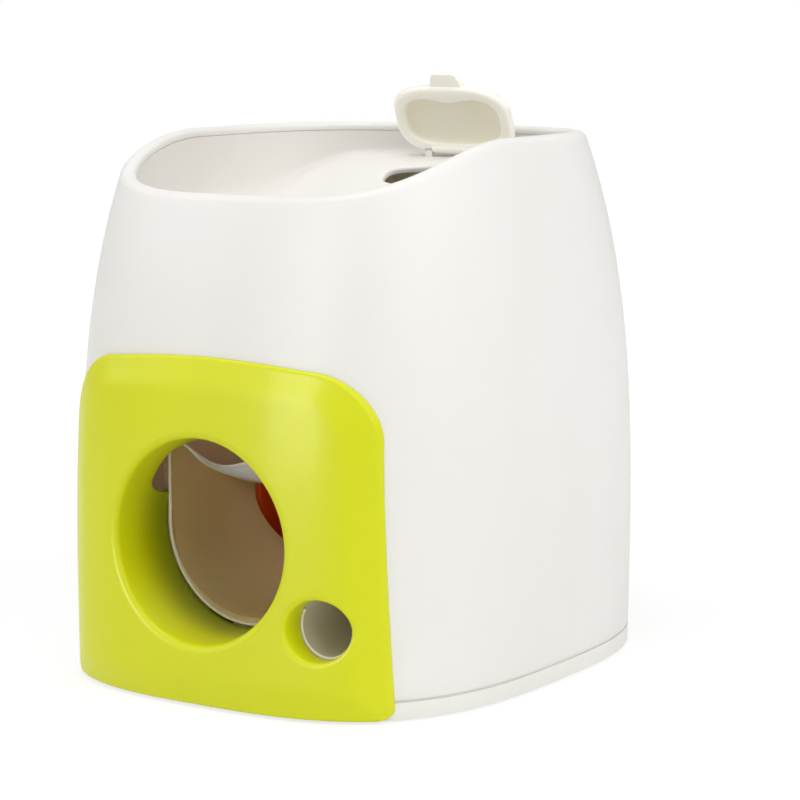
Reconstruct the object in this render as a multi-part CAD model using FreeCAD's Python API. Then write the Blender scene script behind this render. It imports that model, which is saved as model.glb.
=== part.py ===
import FreeCAD, Part
import math
import os

# Gravity ball drop and treat dispenser for dogs, modelled in millimetres.
# Frame: +Z up, -Y is the front with the ball exit, +X is the right side as seen
# from the front. The origin lies on the ground in the middle of the footprint.

Vector = FreeCAD.Vector
Rotation = FreeCAD.Rotation

# ---------------------------------------------------------------- driving sizes
BALL_DIAMETER = 64.0

# Body: rounded-square sections that narrow towards the top.
BODY_HALF_WIDTH = 87.8
BODY_HALF_DEPTH = 103.0
BODY_HEIGHT = 198.0
WIDTH_TAPER = 16.0
DEPTH_TAPER = 26.0
TAPER_POWER = 3.4
SQUARENESS_BOTTOM = 2.95
SQUARENESS_TOP = 3.35
SHELL_WALL = 2.5

# Rim line, seen from the side: level at the back, falling towards the front.
RIM_KINK_Y = -12.0
RIM_MID_Y = -45.0
RIM_MID_DROP = 5.2
RIM_FRONT_Y = -84.0
RIM_FRONT_DROP = 18.5
RIM_FRONT_FALL = 0.3

# Base.
GROUND_CLEARANCE = 0.8
SKIRT_TOP = 6.7
SEAM_GROOVE = 0.8
FLOOR_THICKNESS = 2.5
LIP_WIDTH = 2.0
LIP_HEIGHT = 3.5
FOOT_DIAMETER = 16.0
FOOT_RECESS = 1.0
FOOT_INSET_X = 31.8
FOOT_INSET_Y = 25.0

# Fits between pieces.
SEAT_GAP = 0.3
SLIDE_GAP = 0.5
RUNNING_GAP = 0.05
SCREW_GAP = 0.1

# Front panel with its two sleeves.
PANEL_PROUD = 3.6
PANEL_BOTTOM = 0.9
PANEL_HALF_BOTTOM = 69.0
PANEL_HALF_TOP = 66.0
PANEL_SHOULDER_Z = 96.0
PANEL_CORNER_X = 42.0
PANEL_CORNER_Z = 121.5
PANEL_TOP = 124.0
PANEL_FOOT_RADIUS = 4.0
BALL_HOLE_Z = 59.3
BALL_HOLE_RADIUS = 36.3
SLEEVE_WALL = 2.0
SLEEVE_DEPTH = 33.0
TREAT_HOLE_X = 48.2
TREAT_HOLE_Z = 32.7
TREAT_HOLE_RADIUS = 11.0
TREAT_SLEEVE_WALL = 1.6
TREAT_SLEEVE_DEPTH = 12.6
PEG_DIAMETER = 7.0
PEG_DEPTH = 24.6
PEG_LOW_INSET = 9.0
PEG_LOW_Z = 18.0
PEG_HIGH_INSET = 18.0
PEG_TOP_DROP = 18.0
PEG_BOSS_WALL = 3.0
PEG_SCREW_LENGTH = 8.0

# Hopper bowl.
BOWL_WALL = 2.5
BOWL_BREAK_DROP = 26.0
FUNNEL_HEIGHT = 30.0
THROAT_RADIUS = 35.5
THROAT_FORWARD = 40.0
THROAT_LEDGE = 1.0
FUNNEL_STATIONS = (0.0, 0.12, 0.3, 0.55, 0.8, 1.0)
FUNNEL_EASE = 0.75
FUNNEL_LEAN = 0.6
DROP_TUBE_CLEARANCE = 10.0
DROP_TUBE_LAP = 22.0
SHELF_ANGLE = 29.0
SHELF_BREAK_INSET = 37.0
SHELF_BREAK_DROP = 12.5
BOWL_POST_INSET_X = 23.8
BOWL_POST_INSET_Y = 61.0
BOWL_LUG_RISE = 2.0
LUG_THICKNESS = 4.0

# Treat lid, drawn flat: across, and up from its hinge pin.
LID_HALF_WIDTH = 26.8
LID_HALF_HEIGHT = 14.1
LID_SQUARENESS = 3.05
LID_THICKNESS = 5.0
LID_RECESS = 2.0
LID_RIM = 4.5
LID_EDGE_BELOW_PIN = 0.9
LID_LEAN = -24.0
LID_TAB_BASE = 16.0
LID_TAB_TOP = 12.6
LID_TAB_HEIGHT = 5.3
LID_TAB_THICKNESS = 2.6
OPENING_HALF_WIDTH = 25.0
OPENING_HALF_HEIGHT = 6.5
OPENING_LAP = 2.2
HINGE_PIN_DIAMETER = 2.5
HINGE_BARREL_RADIUS = 2.3
HINGE_BARREL_LENGTH = 24.0
HINGE_EAR_THICKNESS = 3.0
HINGE_BEHIND_BREAK = 2.5
HINGE_ABOVE_LAND = 2.7

# Treat bin below the lid.
BIN_WALL = 1.8
BIN_HALF_WIDTH = 31.0
BIN_DEPTH = 30.8
BIN_AHEAD_OF_HINGE = 1.7
BIN_COLLAR_DROP = 25.5
BIN_KNEE_RISE = 38.0
BIN_KNEE_X = 34.0
BIN_KNEE_SETBACK = 10.0
BIN_KNEE_HALF_X = 20.0
BIN_KNEE_HALF_Y = 14.0
BIN_BACK_EAR_X = 12.0
BIN_EAR_REACH = 5.5
BIN_EAR_THICKNESS = 3.0
BIN_CORNER = 3.0
BIN_SPOUT = 6.0

# Paddle wheel and its shaft.
AXLE_Y = 15.0
AXLE_Z = 62.0
SHAFT_DIAMETER = 5.0
SHAFT_FLAT_DEPTH = 0.6
SHAFT_GROOVE_DEPTH = 0.5
WHEEL_RADIUS = 35.0
WHEEL_DISC = 2.0
WHEEL_HUB_RADIUS = 6.0
BLADE_THICKNESS = 2.4
BLADE_COUNT = 3
BLADE_PHASE = 170.0
DRIVE_PIN_DIAMETER = 2.0

# Ball chute: a round-bottomed trough that falls to the front, with a wheel well.
CHUTE_RADIUS = 36.0
CHUTE_WALL = 2.0
CHUTE_FRONT_Z = 62.5
CHUTE_SLOPE = 5.0
CHUTE_TOP_FRONT = 90.0
CHUTE_TOP_BACK = 71.8
CHUTE_SCOOP_FALL = 0.35
CHUTE_SCOOP_STATION = 0.58
CHUTE_SCOOP_RISE = 0.15
LEG_DIAMETER = 9.0
LEG_X = 24.0
LEG_SETBACK = 15.3
LEG_BEHIND_AXLE = 21.0

# Metering drum and its case.
DRUM_RADIUS = 14.0
DRUM_LENGTH = 21.0
DRUM_OFFSET = 8.0
POCKET_RADIUS = 6.5
POCKET_LENGTH = 15.0
POCKET_COUNT = 3
CASE_WALL = 2.0
CASE_SIDE_WALL = 1.6
INLET_X = 14.0
INLET_Y = 12.0
INLET_OFFSET_Y = 3.0
INLET_RISE = 22.0
OUTLET_FRONT_ANGLE = 205.0
OUTLET_BACK_ANGLE = 262.0
CASE_SCREW_ANGLES = (15.0, 165.0, 330.0)
CASE_BOSS_DIAMETER = 7.0
CASE_BOSS_LAP = 0.6
CHUTE_BOSS_LENGTH = 3.0
WIPER_THICKNESS = 1.5
WIPER_HEIGHT = 6.0

# Bushes and clips.
BUSH_DIAMETER = 8.0
BUSH_FLANGE_DIAMETER = 11.0
BUSH_FLANGE = 1.0
BUSH_BOSS_DIAMETER = 14.0
BUSH_BOSS_LENGTH = 4.0
CLIP_DIAMETER = 9.0
CLIP_THICKNESS = 0.8
CLIP_MOUTH = 3.0
SHAFT_END = 1.2

# Treat chute: a half-round tray from the drum outlet to the treat hole.
TRAY_RADIUS = 11.5
TRAY_WALL = 1.5
TRAY_BACK_RADIUS = 8.0
TRAY_BEHIND_AXLE = 5.0
TRAY_LEG_STATIONS = (0.18, 0.80)

# Screws.
SCREW_DIAMETER = 3.0
SCREW_HEAD_DIAMETER = 5.6
SCREW_HEAD_HEIGHT = 2.0
SCREW_LENGTH = 12.0
WASHER_HEAD_DIAMETER = 8.4
BASE_BOSS_DIAMETER = 11.0
BASE_BOSS_TOP = 7.5
SCREW_SEAT = 4.3
SHELL_POST_DIAMETER = 9.0
SHELL_POST_INSET_X = 10.3
SHELL_POST_INSET_Y = 48.0
SHELL_POST_TOP = 30.0

# ---------------------------------------------------------------- derived sizes
BIG = 3.0 * BODY_HEIGHT
OVERSHOOT = 5.0
LOFT_STEP = 28.0
SECTION_POINTS = 48
# A quarter circle bulges this share of its radius past the middle of its chord.
ROUND_BULGE = math.sqrt(0.5) - 0.5
ROUND_INSET = 1.0 - math.sqrt(0.5)
SHELL_BOTTOM = SKIRT_TOP + SEAM_GROOVE
SHELL_POST_X = BODY_HALF_WIDTH - SHELL_POST_INSET_X
SHELL_POST_Y = BODY_HALF_DEPTH - SHELL_POST_INSET_Y
FOOT_X = BODY_HALF_WIDTH - FOOT_INSET_X
FOOT_Y = BODY_HALF_DEPTH - FOOT_INSET_Y
BOWL_BREAK_Z = BODY_HEIGHT - BOWL_BREAK_DROP
BOWL_THROAT_Z = BOWL_BREAK_Z - FUNNEL_HEIGHT
BOWL_POST_X = BODY_HALF_WIDTH - BOWL_POST_INSET_X
BOWL_POST_Y = BODY_HALF_DEPTH - BOWL_POST_INSET_Y
BOWL_LUG_Z = BOWL_THROAT_Z + BOWL_LUG_RISE
THROAT_Y = AXLE_Y - THROAT_FORWARD
DROP_TUBE_BOTTOM = CHUTE_TOP_FRONT + DROP_TUBE_CLEARANCE
DROP_TUBE_TOP = BOWL_THROAT_Z + DROP_TUBE_LAP
SHELF_BREAK_Y = BODY_HALF_DEPTH - SHELF_BREAK_INSET
SHELF_BREAK_Z = BODY_HEIGHT - SHELF_BREAK_DROP
SHELF_SLOPE = math.tan(math.radians(SHELF_ANGLE))
SHELF_COS = math.cos(math.radians(SHELF_ANGLE))
SHELF_SIN = math.sin(math.radians(SHELF_ANGLE))
SLEEVE_RADIUS = BALL_HOLE_RADIUS + SLEEVE_WALL
TREAT_SLEEVE_RADIUS = TREAT_HOLE_RADIUS + TREAT_SLEEVE_WALL
PANEL_FRONT_Y = -(BODY_HALF_DEPTH + PANEL_PROUD)
SLEEVE_END_Y = PANEL_FRONT_Y + SLEEVE_DEPTH
TREAT_SLEEVE_END_Y = PANEL_FRONT_Y + TREAT_SLEEVE_DEPTH
PEG_END_Y = PANEL_FRONT_Y + PEG_DEPTH
PEG_LOW = (PANEL_HALF_BOTTOM - PEG_LOW_INSET, PEG_LOW_Z)
PEG_HIGH = (PANEL_HALF_TOP - PEG_HIGH_INSET, PANEL_TOP - PEG_TOP_DROP)
CHUTE_START_Y = SLEEVE_END_Y + SEAT_GAP
LEG_FRONT_Y = CHUTE_START_Y + LEG_SETBACK
LEG_BACK_Y = AXLE_Y + LEG_BEHIND_AXLE
CHUTE_OUTER = CHUTE_RADIUS + CHUTE_WALL
WHEEL_HALF_LENGTH = CHUTE_RADIUS - SLIDE_GAP
WELL_RADIUS = WHEEL_RADIUS + 2.0 * SLIDE_GAP
WELL_OUTER = WELL_RADIUS + CHUTE_WALL
DRUM_INNER_X = CHUTE_OUTER + DRUM_OFFSET
DRUM_OUTER_X = DRUM_INNER_X + DRUM_LENGTH
CASE_RADIUS = DRUM_RADIUS + SLIDE_GAP
CASE_OUTER = CASE_RADIUS + CASE_WALL
CASE_INNER_X = DRUM_INNER_X - SLIDE_GAP - CASE_SIDE_WALL
CASE_OPEN_X = DRUM_OUTER_X + SLIDE_GAP
CASE_SCREW_RADIUS = CASE_OUTER + CASE_BOSS_DIAMETER / 2.0 - CASE_BOSS_LAP
COVER_X = CASE_OPEN_X + CASE_SIDE_WALL
CASE_SCREW_LENGTH = COVER_X - CHUTE_OUTER - SLIDE_GAP
RIGHT_BOSS_X = COVER_X + BUSH_BOSS_LENGTH
LEFT_BOSS_X = -(CHUTE_OUTER + BUSH_BOSS_LENGTH)
LEFT_FLANGE_X = LEFT_BOSS_X - BUSH_FLANGE
RIGHT_FLANGE_X = RIGHT_BOSS_X + BUSH_FLANGE
SHAFT_LEFT_X = LEFT_FLANGE_X - RUNNING_GAP - CLIP_THICKNESS - SHAFT_END
SHAFT_RIGHT_X = RIGHT_FLANGE_X + RUNNING_GAP + CLIP_THICKNESS + SHAFT_END
DRUM_X = (DRUM_INNER_X + DRUM_OUTER_X) / 2.0
INLET_TOP = AXLE_Z + INLET_RISE
TRAY_BACK_Y = AXLE_Y + TRAY_BEHIND_AXLE
HINGE_Y = SHELF_BREAK_Y + HINGE_BEHIND_BREAK
HINGE_Z = SHELF_BREAK_Z + HINGE_ABOVE_LAND
BIN_BACK_Y = HINGE_Y - BIN_AHEAD_OF_HINGE
BIN_FRONT_Y = BIN_BACK_Y - BIN_DEPTH
BIN_COLLAR_Z = SHELF_BREAK_Z - BIN_COLLAR_DROP
BIN_KNEE_Y = BIN_FRONT_Y + BIN_KNEE_SETBACK
BIN_KNEE_Z = INLET_TOP + BIN_KNEE_RISE
# Height of the hinge pin above the shelf plane, square to the shelf.
PIN_ABOVE_SHELF = HINGE_ABOVE_LAND * SHELF_COS - HINGE_BEHIND_BREAK * SHELF_SIN
LID_SEAT = PIN_ABOVE_SHELF - SEAT_GAP
LID_CLOSE_ANGLE = 90.0 + SHELF_ANGLE + LID_LEAN
ORIGIN_SHIFT = PANEL_PROUD / 2.0


# ---------------------------------------------------------------- basic shapes
def box(x0, x1, y0, y1, z0, z1):
    """Box between two corners."""
    return Part.makeBox(x1 - x0, y1 - y0, z1 - z0, Vector(x0, y0, z0))


def rod(radius, start, end):
    """Solid cylinder between two points."""
    start = Vector(*start)
    span = Vector(*end) - start
    return Part.makeCylinder(radius, span.Length, start, span)


def axle_rod(radius, x0, x1):
    """Cylinder on the wheel axis between two X stations."""
    return rod(radius, (x0, AXLE_Y, AXLE_Z), (x1, AXLE_Y, AXLE_Z))


def join(shapes):
    """One solid from touching shapes."""
    return shapes[0].fuse(shapes[1:]).removeSplitter()


def superellipse(half_x, half_y, squareness):
    """Points of a superellipse about the origin, spaced by polar angle from one corner on."""
    points = []
    for i in range(SECTION_POINTS):
        angle = math.pi / 4.0 + 2.0 * math.pi * i / SECTION_POINTS
        across = math.cos(angle)
        along = math.sin(angle)
        total = abs(across / half_x) ** squareness + abs(along / half_y) ** squareness
        reach = total ** (-1.0 / squareness)
        points.append((reach * across, reach * along))
    return points


def closed_curve(points):
    """Smooth closed wire through points, in four edges."""
    curve = Part.BSplineCurve()
    curve.interpolate(points, PeriodicFlag=True)
    quarter = len(points) // 4
    stations = [curve.parameter(points[i * quarter]) for i in range(1, 4)]
    stations = [curve.FirstParameter] + stations + [curve.LastParameter]
    return Part.Wire([curve.toShape(a, b) for a, b in zip(stations, stations[1:])])


def rounded_square(half_x, half_y, squareness, centre_y, z):
    """Closed superellipse wire at height z."""
    points = superellipse(half_x, half_y, squareness)
    return closed_curve([Vector(x, centre_y + y, z) for x, y in points])


def body_halves(z):
    """Half width, half depth and squareness of the body at height z."""
    part = max(z, 0.0) / BODY_HEIGHT
    taper = part ** TAPER_POWER
    squareness = SQUARENESS_BOTTOM + (SQUARENESS_TOP - SQUARENESS_BOTTOM) * part
    return BODY_HALF_WIDTH - WIDTH_TAPER * taper, BODY_HALF_DEPTH - DEPTH_TAPER * taper, squareness


def body_form(offset, z0, z1):
    """Body-shaped solid from z0 to z1, grown sideways by an offset."""
    steps = max(2, int(math.ceil((z1 - z0) / LOFT_STEP)))
    wires = []
    for i in range(steps + 1):
        z = z0 + (z1 - z0) * i / steps
        half_x, half_y, squareness = body_halves(z)
        wires.append(rounded_square(half_x + offset, half_y + offset, squareness, 0.0, z))
    return Part.makeLoft(wires, True, steps == 1)


def side_prism(points, half_width=BIG):
    """Prism across X from a side outline of (y, z) corners."""
    corners = [Vector(-half_width, y, z) for y, z in points]
    face = Part.Face(Part.makePolygon(corners + corners[:1]))
    return face.extrude(Vector(2.0 * half_width, 0, 0))


def rounded_box(half_x, half_y, centre_x, centre_y, z, radius):
    """Closed wire of a rectangle with round corners at height z."""
    x0, x1 = centre_x - half_x, centre_x + half_x
    y0, y1 = centre_y - half_y, centre_y + half_y
    inset = radius * ROUND_INSET

    def line(ax, ay, bx, by):
        return Part.makeLine(Vector(ax, ay, z), Vector(bx, by, z))

    def arc(ax, ay, mx, my, bx, by):
        return Part.Arc(Vector(ax, ay, z), Vector(mx, my, z), Vector(bx, by, z)).toShape()

    return Part.Wire([
        line(x0 + radius, y0, x1 - radius, y0),
        arc(x1 - radius, y0, x1 - inset, y0 + inset, x1, y0 + radius),
        line(x1, y0 + radius, x1, y1 - radius),
        arc(x1, y1 - radius, x1 - inset, y1 - inset, x1 - radius, y1),
        line(x1 - radius, y1, x0 + radius, y1),
        arc(x0 + radius, y1, x0 + inset, y1 - inset, x0, y1 - radius),
        line(x0, y1 - radius, x0, y0 + radius),
        arc(x0, y0 + radius, x0 + inset, y0 + inset, x0 + radius, y0),
    ])


def screw(seat, direction, length=SCREW_LENGTH, head=SCREW_HEAD_DIAMETER):
    """Pan-head screw: its head lies behind the seat, its shank runs along the direction."""
    direction = Vector(*direction)
    direction.normalize()
    seat = Vector(*seat)
    shank = Part.makeCylinder(SCREW_DIAMETER / 2.0, length, seat, direction)
    cap = Part.makeCylinder(head / 2.0, SCREW_HEAD_HEIGHT, seat - direction * SCREW_HEAD_HEIGHT, direction)
    return cap.fuse(shank).removeSplitter()


def pilot(seat, direction, length=SCREW_LENGTH):
    """Hole that takes a screw's shank."""
    direction = Vector(*direction)
    direction.normalize()
    start = Vector(*seat) - direction * SCREW_HEAD_HEIGHT
    reach = length + SCREW_HEAD_HEIGHT + SCREW_GAP
    return Part.makeCylinder(SCREW_DIAMETER / 2.0 + SCREW_GAP / 2.0, reach, start, direction)


# ---------------------------------------------------------------- where screws go
def mirrored(x, y):
    """The four places at plus and minus x and y."""
    return [(sx * x, sy * y) for sx in (-1, 1) for sy in (-1, 1)]


def tray_point(share):
    """Point on the treat tray's axis, from its front end (0) to its back end (1)."""
    front_z = TREAT_HOLE_Z + TRAY_RADIUS - TREAT_HOLE_RADIUS
    front = Vector(TREAT_HOLE_X, TREAT_SLEEVE_END_Y + SEAT_GAP, front_z)
    back = Vector(DRUM_X, TRAY_BACK_Y, AXLE_Z - CASE_OUTER - SEAT_GAP)
    return front + (back - front) * share


SHELL_POSTS = mirrored(SHELL_POST_X, SHELL_POST_Y)
BALL_CHUTE_LEGS = [(sx * LEG_X, y) for sx in (-1, 1) for y in (LEG_FRONT_Y, LEG_BACK_Y)]
TRAY_LEGS = [(tray_point(share).x, tray_point(share).y) for share in TRAY_LEG_STATIONS]
PANEL_PEGS = [(sx * x, z) for sx in (-1, 1) for x, z in (PEG_LOW, PEG_HIGH)]
BOWL_POSTS = mirrored(BOWL_POST_X, BOWL_POST_Y)
BIN_EARS = [
    (-BIN_HALF_WIDTH - BIN_EAR_REACH, (BIN_FRONT_Y + BIN_BACK_Y) / 2.0),
    (BIN_BACK_EAR_X, BIN_BACK_Y + BIN_EAR_REACH),
]
CASE_BOSSES = [
    (AXLE_Y + CASE_SCREW_RADIUS * math.cos(math.radians(angle)),
     AXLE_Z + CASE_SCREW_RADIUS * math.sin(math.radians(angle)))
    for angle in CASE_SCREW_ANGLES
]


# ---------------------------------------------------------------- housing
def below_rim(extra=0.0):
    """Everything below the rim line, which falls in a soft curve to the front."""
    top = BODY_HEIGHT + extra
    curve = Part.BSplineCurve()
    curve.interpolate([
        Vector(-BIG, RIM_KINK_Y, top),
        Vector(-BIG, RIM_MID_Y, top - RIM_MID_DROP),
        Vector(-BIG, RIM_FRONT_Y, top - RIM_FRONT_DROP),
    ], InitialTangent=Vector(0, -1, 0), FinalTangent=Vector(0, -1, -RIM_FRONT_FALL))
    corners = [
        Vector(-BIG, RIM_FRONT_Y, top - RIM_FRONT_DROP),
        Vector(-BIG, -BIG, top - RIM_FRONT_DROP),
        Vector(-BIG, -BIG, -BIG),
        Vector(-BIG, BIG, -BIG),
        Vector(-BIG, BIG, top),
        Vector(-BIG, RIM_KINK_Y, top),
    ]
    lines = [Part.makeLine(a, b) for a, b in zip(corners, corners[1:])]
    face = Part.Face(Part.Wire([curve.toShape()] + lines))
    return face.extrude(Vector(2.0 * BIG, 0, 0))


def housing_shell():
    outer = body_form(0.0, SHELL_BOTTOM, BODY_HEIGHT + OVERSHOOT)
    inner = body_form(-SHELL_WALL, SHELL_BOTTOM - OVERSHOOT, BODY_HEIGHT + 2.0 * OVERSHOOT)
    walls = outer.cut(inner).common(below_rim())
    inside = body_form(-SHELL_WALL / 2.0, SHELL_BOTTOM, BODY_HEIGHT)
    extras = []
    for x, y in SHELL_POSTS:
        extras.append(rod(SHELL_POST_DIAMETER / 2.0, (x, y, BASE_BOSS_TOP), (x, y, SHELL_POST_TOP)))
    for x, z in PANEL_PEGS:
        extras.append(rod(PEG_DIAMETER / 2.0 + PEG_BOSS_WALL, (x, PANEL_FRONT_Y, z), (x, PEG_END_Y, z)))
    for x, y in BOWL_POSTS:
        side = math.copysign(1.0, x)
        reach = sorted((x - side * LEG_DIAMETER / 2.0, side * BODY_HALF_WIDTH))
        half = LEG_DIAMETER / 2.0
        extras.append(box(reach[0], reach[1], y - half, y + half, BOWL_LUG_Z - LUG_THICKNESS, BOWL_LUG_Z))
    shell = join([walls] + [extra.common(inside) for extra in extras])
    holes = [rod(SLEEVE_RADIUS + SLIDE_GAP, (0, -BIG, BALL_HOLE_Z), (0, 0, BALL_HOLE_Z))]
    holes.append(rod(TREAT_SLEEVE_RADIUS + SLIDE_GAP, (TREAT_HOLE_X, -BIG, TREAT_HOLE_Z),
                     (TREAT_HOLE_X, 0, TREAT_HOLE_Z)))
    for x, z in PANEL_PEGS:
        holes.append(rod(PEG_DIAMETER / 2.0 + SEAT_GAP, (x, -BIG, z), (x, 0, z)))
    for x, y in SHELL_POSTS:
        holes.append(pilot((x, y, SCREW_SEAT), (0, 0, 1)))
    for x, y in BOWL_POSTS:
        holes.append(pilot((x, y, BOWL_LUG_Z - LUG_THICKNESS), (0, 0, 1)))
    return shell.cut(holes)


def base_plate():
    outer = body_form(0.0, GROUND_CLEARANCE, SKIRT_TOP)
    neck = body_form(-SEAM_GROOVE, SKIRT_TOP, SHELL_BOTTOM)
    lip = body_form(-SHELL_WALL - SEAT_GAP, SHELL_BOTTOM, SHELL_BOTTOM + LIP_HEIGHT)
    hollow = body_form(-SHELL_WALL - SEAT_GAP - LIP_WIDTH, GROUND_CLEARANCE + FLOOR_THICKNESS,
                       SHELL_BOTTOM + LIP_HEIGHT + OVERSHOOT)
    plate = join([outer, neck, lip]).cut(hollow)
    room = [rod(SHELL_POST_DIAMETER / 2.0 + SLIDE_GAP, (x, y, SHELL_BOTTOM), (x, y, SHELL_POST_TOP))
            for x, y in SHELL_POSTS]
    plate = plate.cut(room)
    bosses = [rod(BASE_BOSS_DIAMETER / 2.0, (x, y, GROUND_CLEARANCE), (x, y, BASE_BOSS_TOP))
              for x, y in BALL_CHUTE_LEGS + TRAY_LEGS]
    inside = body_form(-SHELL_WALL, GROUND_CLEARANCE, SHELL_BOTTOM)
    bosses += [rod(BASE_BOSS_DIAMETER / 2.0, (x, y, GROUND_CLEARANCE), (x, y, BASE_BOSS_TOP)).common(inside)
               for x, y in SHELL_POSTS]
    plate = join([plate] + bosses)
    holes = []
    for x, y in SHELL_POSTS + BALL_CHUTE_LEGS + TRAY_LEGS:
        holes.append(rod(SCREW_HEAD_DIAMETER / 2.0 + SLIDE_GAP, (x, y, 0), (x, y, SCREW_SEAT)))
        holes.append(pilot((x, y, SCREW_SEAT), (0, 0, 1)))
    for x, y in mirrored(FOOT_X, FOOT_Y):
        holes.append(rod(FOOT_DIAMETER / 2.0, (x, y, 0), (x, y, GROUND_CLEARANCE + FOOT_RECESS)))
    return plate.cut(holes)


def rubber_feet():
    return [rod(FOOT_DIAMETER / 2.0, (x, y, 0), (x, y, GROUND_CLEARANCE + FOOT_RECESS))
            for x, y in mirrored(FOOT_X, FOOT_Y)]


# ---------------------------------------------------------------- front panel
def panel_outline(y):
    """Closed outline of the panel: straight sides, round shoulders, crowned top."""
    low = PANEL_BOTTOM
    foot = PANEL_FOOT_RADIUS
    inset = foot * ROUND_INSET
    middle_x = (PANEL_HALF_TOP + PANEL_CORNER_X) / 2.0 + ROUND_BULGE * (PANEL_HALF_TOP - PANEL_CORNER_X)
    middle_z = (PANEL_SHOULDER_Z + PANEL_CORNER_Z) / 2.0 + ROUND_BULGE * (PANEL_CORNER_Z - PANEL_SHOULDER_Z)

    def at(x, z):
        return Vector(x, y, z)

    edges = [Part.makeLine(at(foot - PANEL_HALF_BOTTOM, low), at(PANEL_HALF_BOTTOM - foot, low))]
    edges.append(Part.Arc(at(PANEL_HALF_BOTTOM - foot, low), at(PANEL_HALF_BOTTOM - inset, low + inset),
                          at(PANEL_HALF_BOTTOM, low + foot)).toShape())
    edges.append(Part.makeLine(at(PANEL_HALF_BOTTOM, low + foot), at(PANEL_HALF_TOP, PANEL_SHOULDER_Z)))
    edges.append(Part.Arc(at(PANEL_HALF_TOP, PANEL_SHOULDER_Z), at(middle_x, middle_z),
                          at(PANEL_CORNER_X, PANEL_CORNER_Z)).toShape())
    edges.append(Part.Arc(at(PANEL_CORNER_X, PANEL_CORNER_Z), at(0, PANEL_TOP),
                          at(-PANEL_CORNER_X, PANEL_CORNER_Z)).toShape())
    edges.append(Part.Arc(at(-PANEL_CORNER_X, PANEL_CORNER_Z), at(-middle_x, middle_z),
                          at(-PANEL_HALF_TOP, PANEL_SHOULDER_Z)).toShape())
    edges.append(Part.makeLine(at(-PANEL_HALF_TOP, PANEL_SHOULDER_Z), at(-PANEL_HALF_BOTTOM, low + foot)))
    edges.append(Part.Arc(at(-PANEL_HALF_BOTTOM, low + foot), at(inset - PANEL_HALF_BOTTOM, low + inset),
                          at(foot - PANEL_HALF_BOTTOM, low)).toShape())
    return Part.Face(Part.Wire(edges))


def front_panel():
    prism = panel_outline(-BIG).extrude(Vector(0, BIG, 0))
    skin = body_form(PANEL_PROUD, PANEL_BOTTOM - OVERSHOOT, PANEL_TOP + OVERSHOOT)
    backing = body_form(SEAT_GAP, PANEL_BOTTOM - 2.0 * OVERSHOOT, PANEL_TOP + 2.0 * OVERSHOOT)
    plate = skin.cut(backing).common(prism)
    within = skin.common(box(-BIG, BIG, -BIG, 0, -BIG, BIG))
    parts = [plate]
    parts.append(rod(SLEEVE_RADIUS, (0, -BIG, BALL_HOLE_Z), (0, SLEEVE_END_Y, BALL_HOLE_Z)).common(within))
    parts.append(rod(TREAT_SLEEVE_RADIUS, (TREAT_HOLE_X, -BIG, TREAT_HOLE_Z),
                     (TREAT_HOLE_X, TREAT_SLEEVE_END_Y, TREAT_HOLE_Z)).common(within))
    for x, z in PANEL_PEGS:
        parts.append(rod(PEG_DIAMETER / 2.0, (x, -BIG, z), (x, PEG_END_Y, z)).common(within))
    panel = join(parts)
    holes = [rod(BALL_HOLE_RADIUS, (0, -BIG, BALL_HOLE_Z), (0, 0, BALL_HOLE_Z))]
    holes.append(rod(TREAT_HOLE_RADIUS, (TREAT_HOLE_X, -BIG, TREAT_HOLE_Z),
                     (TREAT_HOLE_X, 0, TREAT_HOLE_Z)))
    for x, z in PANEL_PEGS:
        holes.append(pilot((x, PEG_END_Y, z), (0, -1, 0), PEG_SCREW_LENGTH))
    return panel.cut(holes)


# ---------------------------------------------------------------- hopper bowl
def shelf_profile(drop):
    """Everything above the rear shelf, lowered by a drop square to the slope."""
    down = drop / SHELF_COS
    front_z = SHELF_BREAK_Z - (SHELF_BREAK_Y + BIG) * SHELF_SLOPE
    return side_prism([
        (-BIG, front_z - down),
        (SHELF_BREAK_Y, SHELF_BREAK_Z - down),
        (BIG, SHELF_BREAK_Z - down),
        (BIG, BIG),
        (-BIG, BIG),
    ])


def bowl_form(offset):
    """Bowl hollow from the throat up: a circle that opens out to the body's section."""
    wires = []
    drop = FUNNEL_LEAN * offset
    low_radius = THROAT_RADIUS + THROAT_LEDGE
    for share in FUNNEL_STATIONS:
        z = BOWL_THROAT_Z + (BOWL_BREAK_Z - BOWL_THROAT_Z) * share - drop
        half_x, half_y, squareness = body_halves(z)
        ease = share ** FUNNEL_EASE
        inset = SHELL_WALL + SEAT_GAP + BOWL_WALL
        wires.append(rounded_square(
            low_radius + (half_x - inset - low_radius) * ease + offset,
            low_radius + (half_y - inset - low_radius) * ease + offset,
            2.0 + (squareness - 2.0) * ease,
            THROAT_Y * (1.0 - ease),
            z))
    funnel = Part.makeLoft(wires, True, False)
    upper = body_form(offset - SHELL_WALL - SEAT_GAP - BOWL_WALL, BOWL_BREAK_Z - drop,
                      BODY_HEIGHT + OVERSHOOT)
    return join([funnel, upper])


def lid_frame(shape):
    """Place a shape drawn in lid axes (x across, y behind the face, z up from the pin) at rest."""
    placed = shape.copy()
    lean = Rotation(Vector(1, 0, 0), -LID_LEAN)
    placed.Placement = FreeCAD.Placement(Vector(0, HINGE_Y, HINGE_Z), lean)
    return placed


def oval_prism(half_x, half_z, middle, depth0, depth1):
    """Squarish oval prism in lid axes: depth counts forward from the pin, out of the face."""
    points = [Vector(x, -depth0, middle + z) for x, z in superellipse(half_x, half_z, LID_SQUARENESS)]
    return Part.Face(closed_curve(points)).extrude(Vector(0, depth0 - depth1, 0))


def lid_prism(inset, depth0, depth1):
    """Prism with the lid's own outline, made smaller all round by an inset."""
    middle = LID_HALF_HEIGHT - LID_EDGE_BELOW_PIN
    return oval_prism(LID_HALF_WIDTH - inset, LID_HALF_HEIGHT - inset, middle, depth0, depth1)


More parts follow.
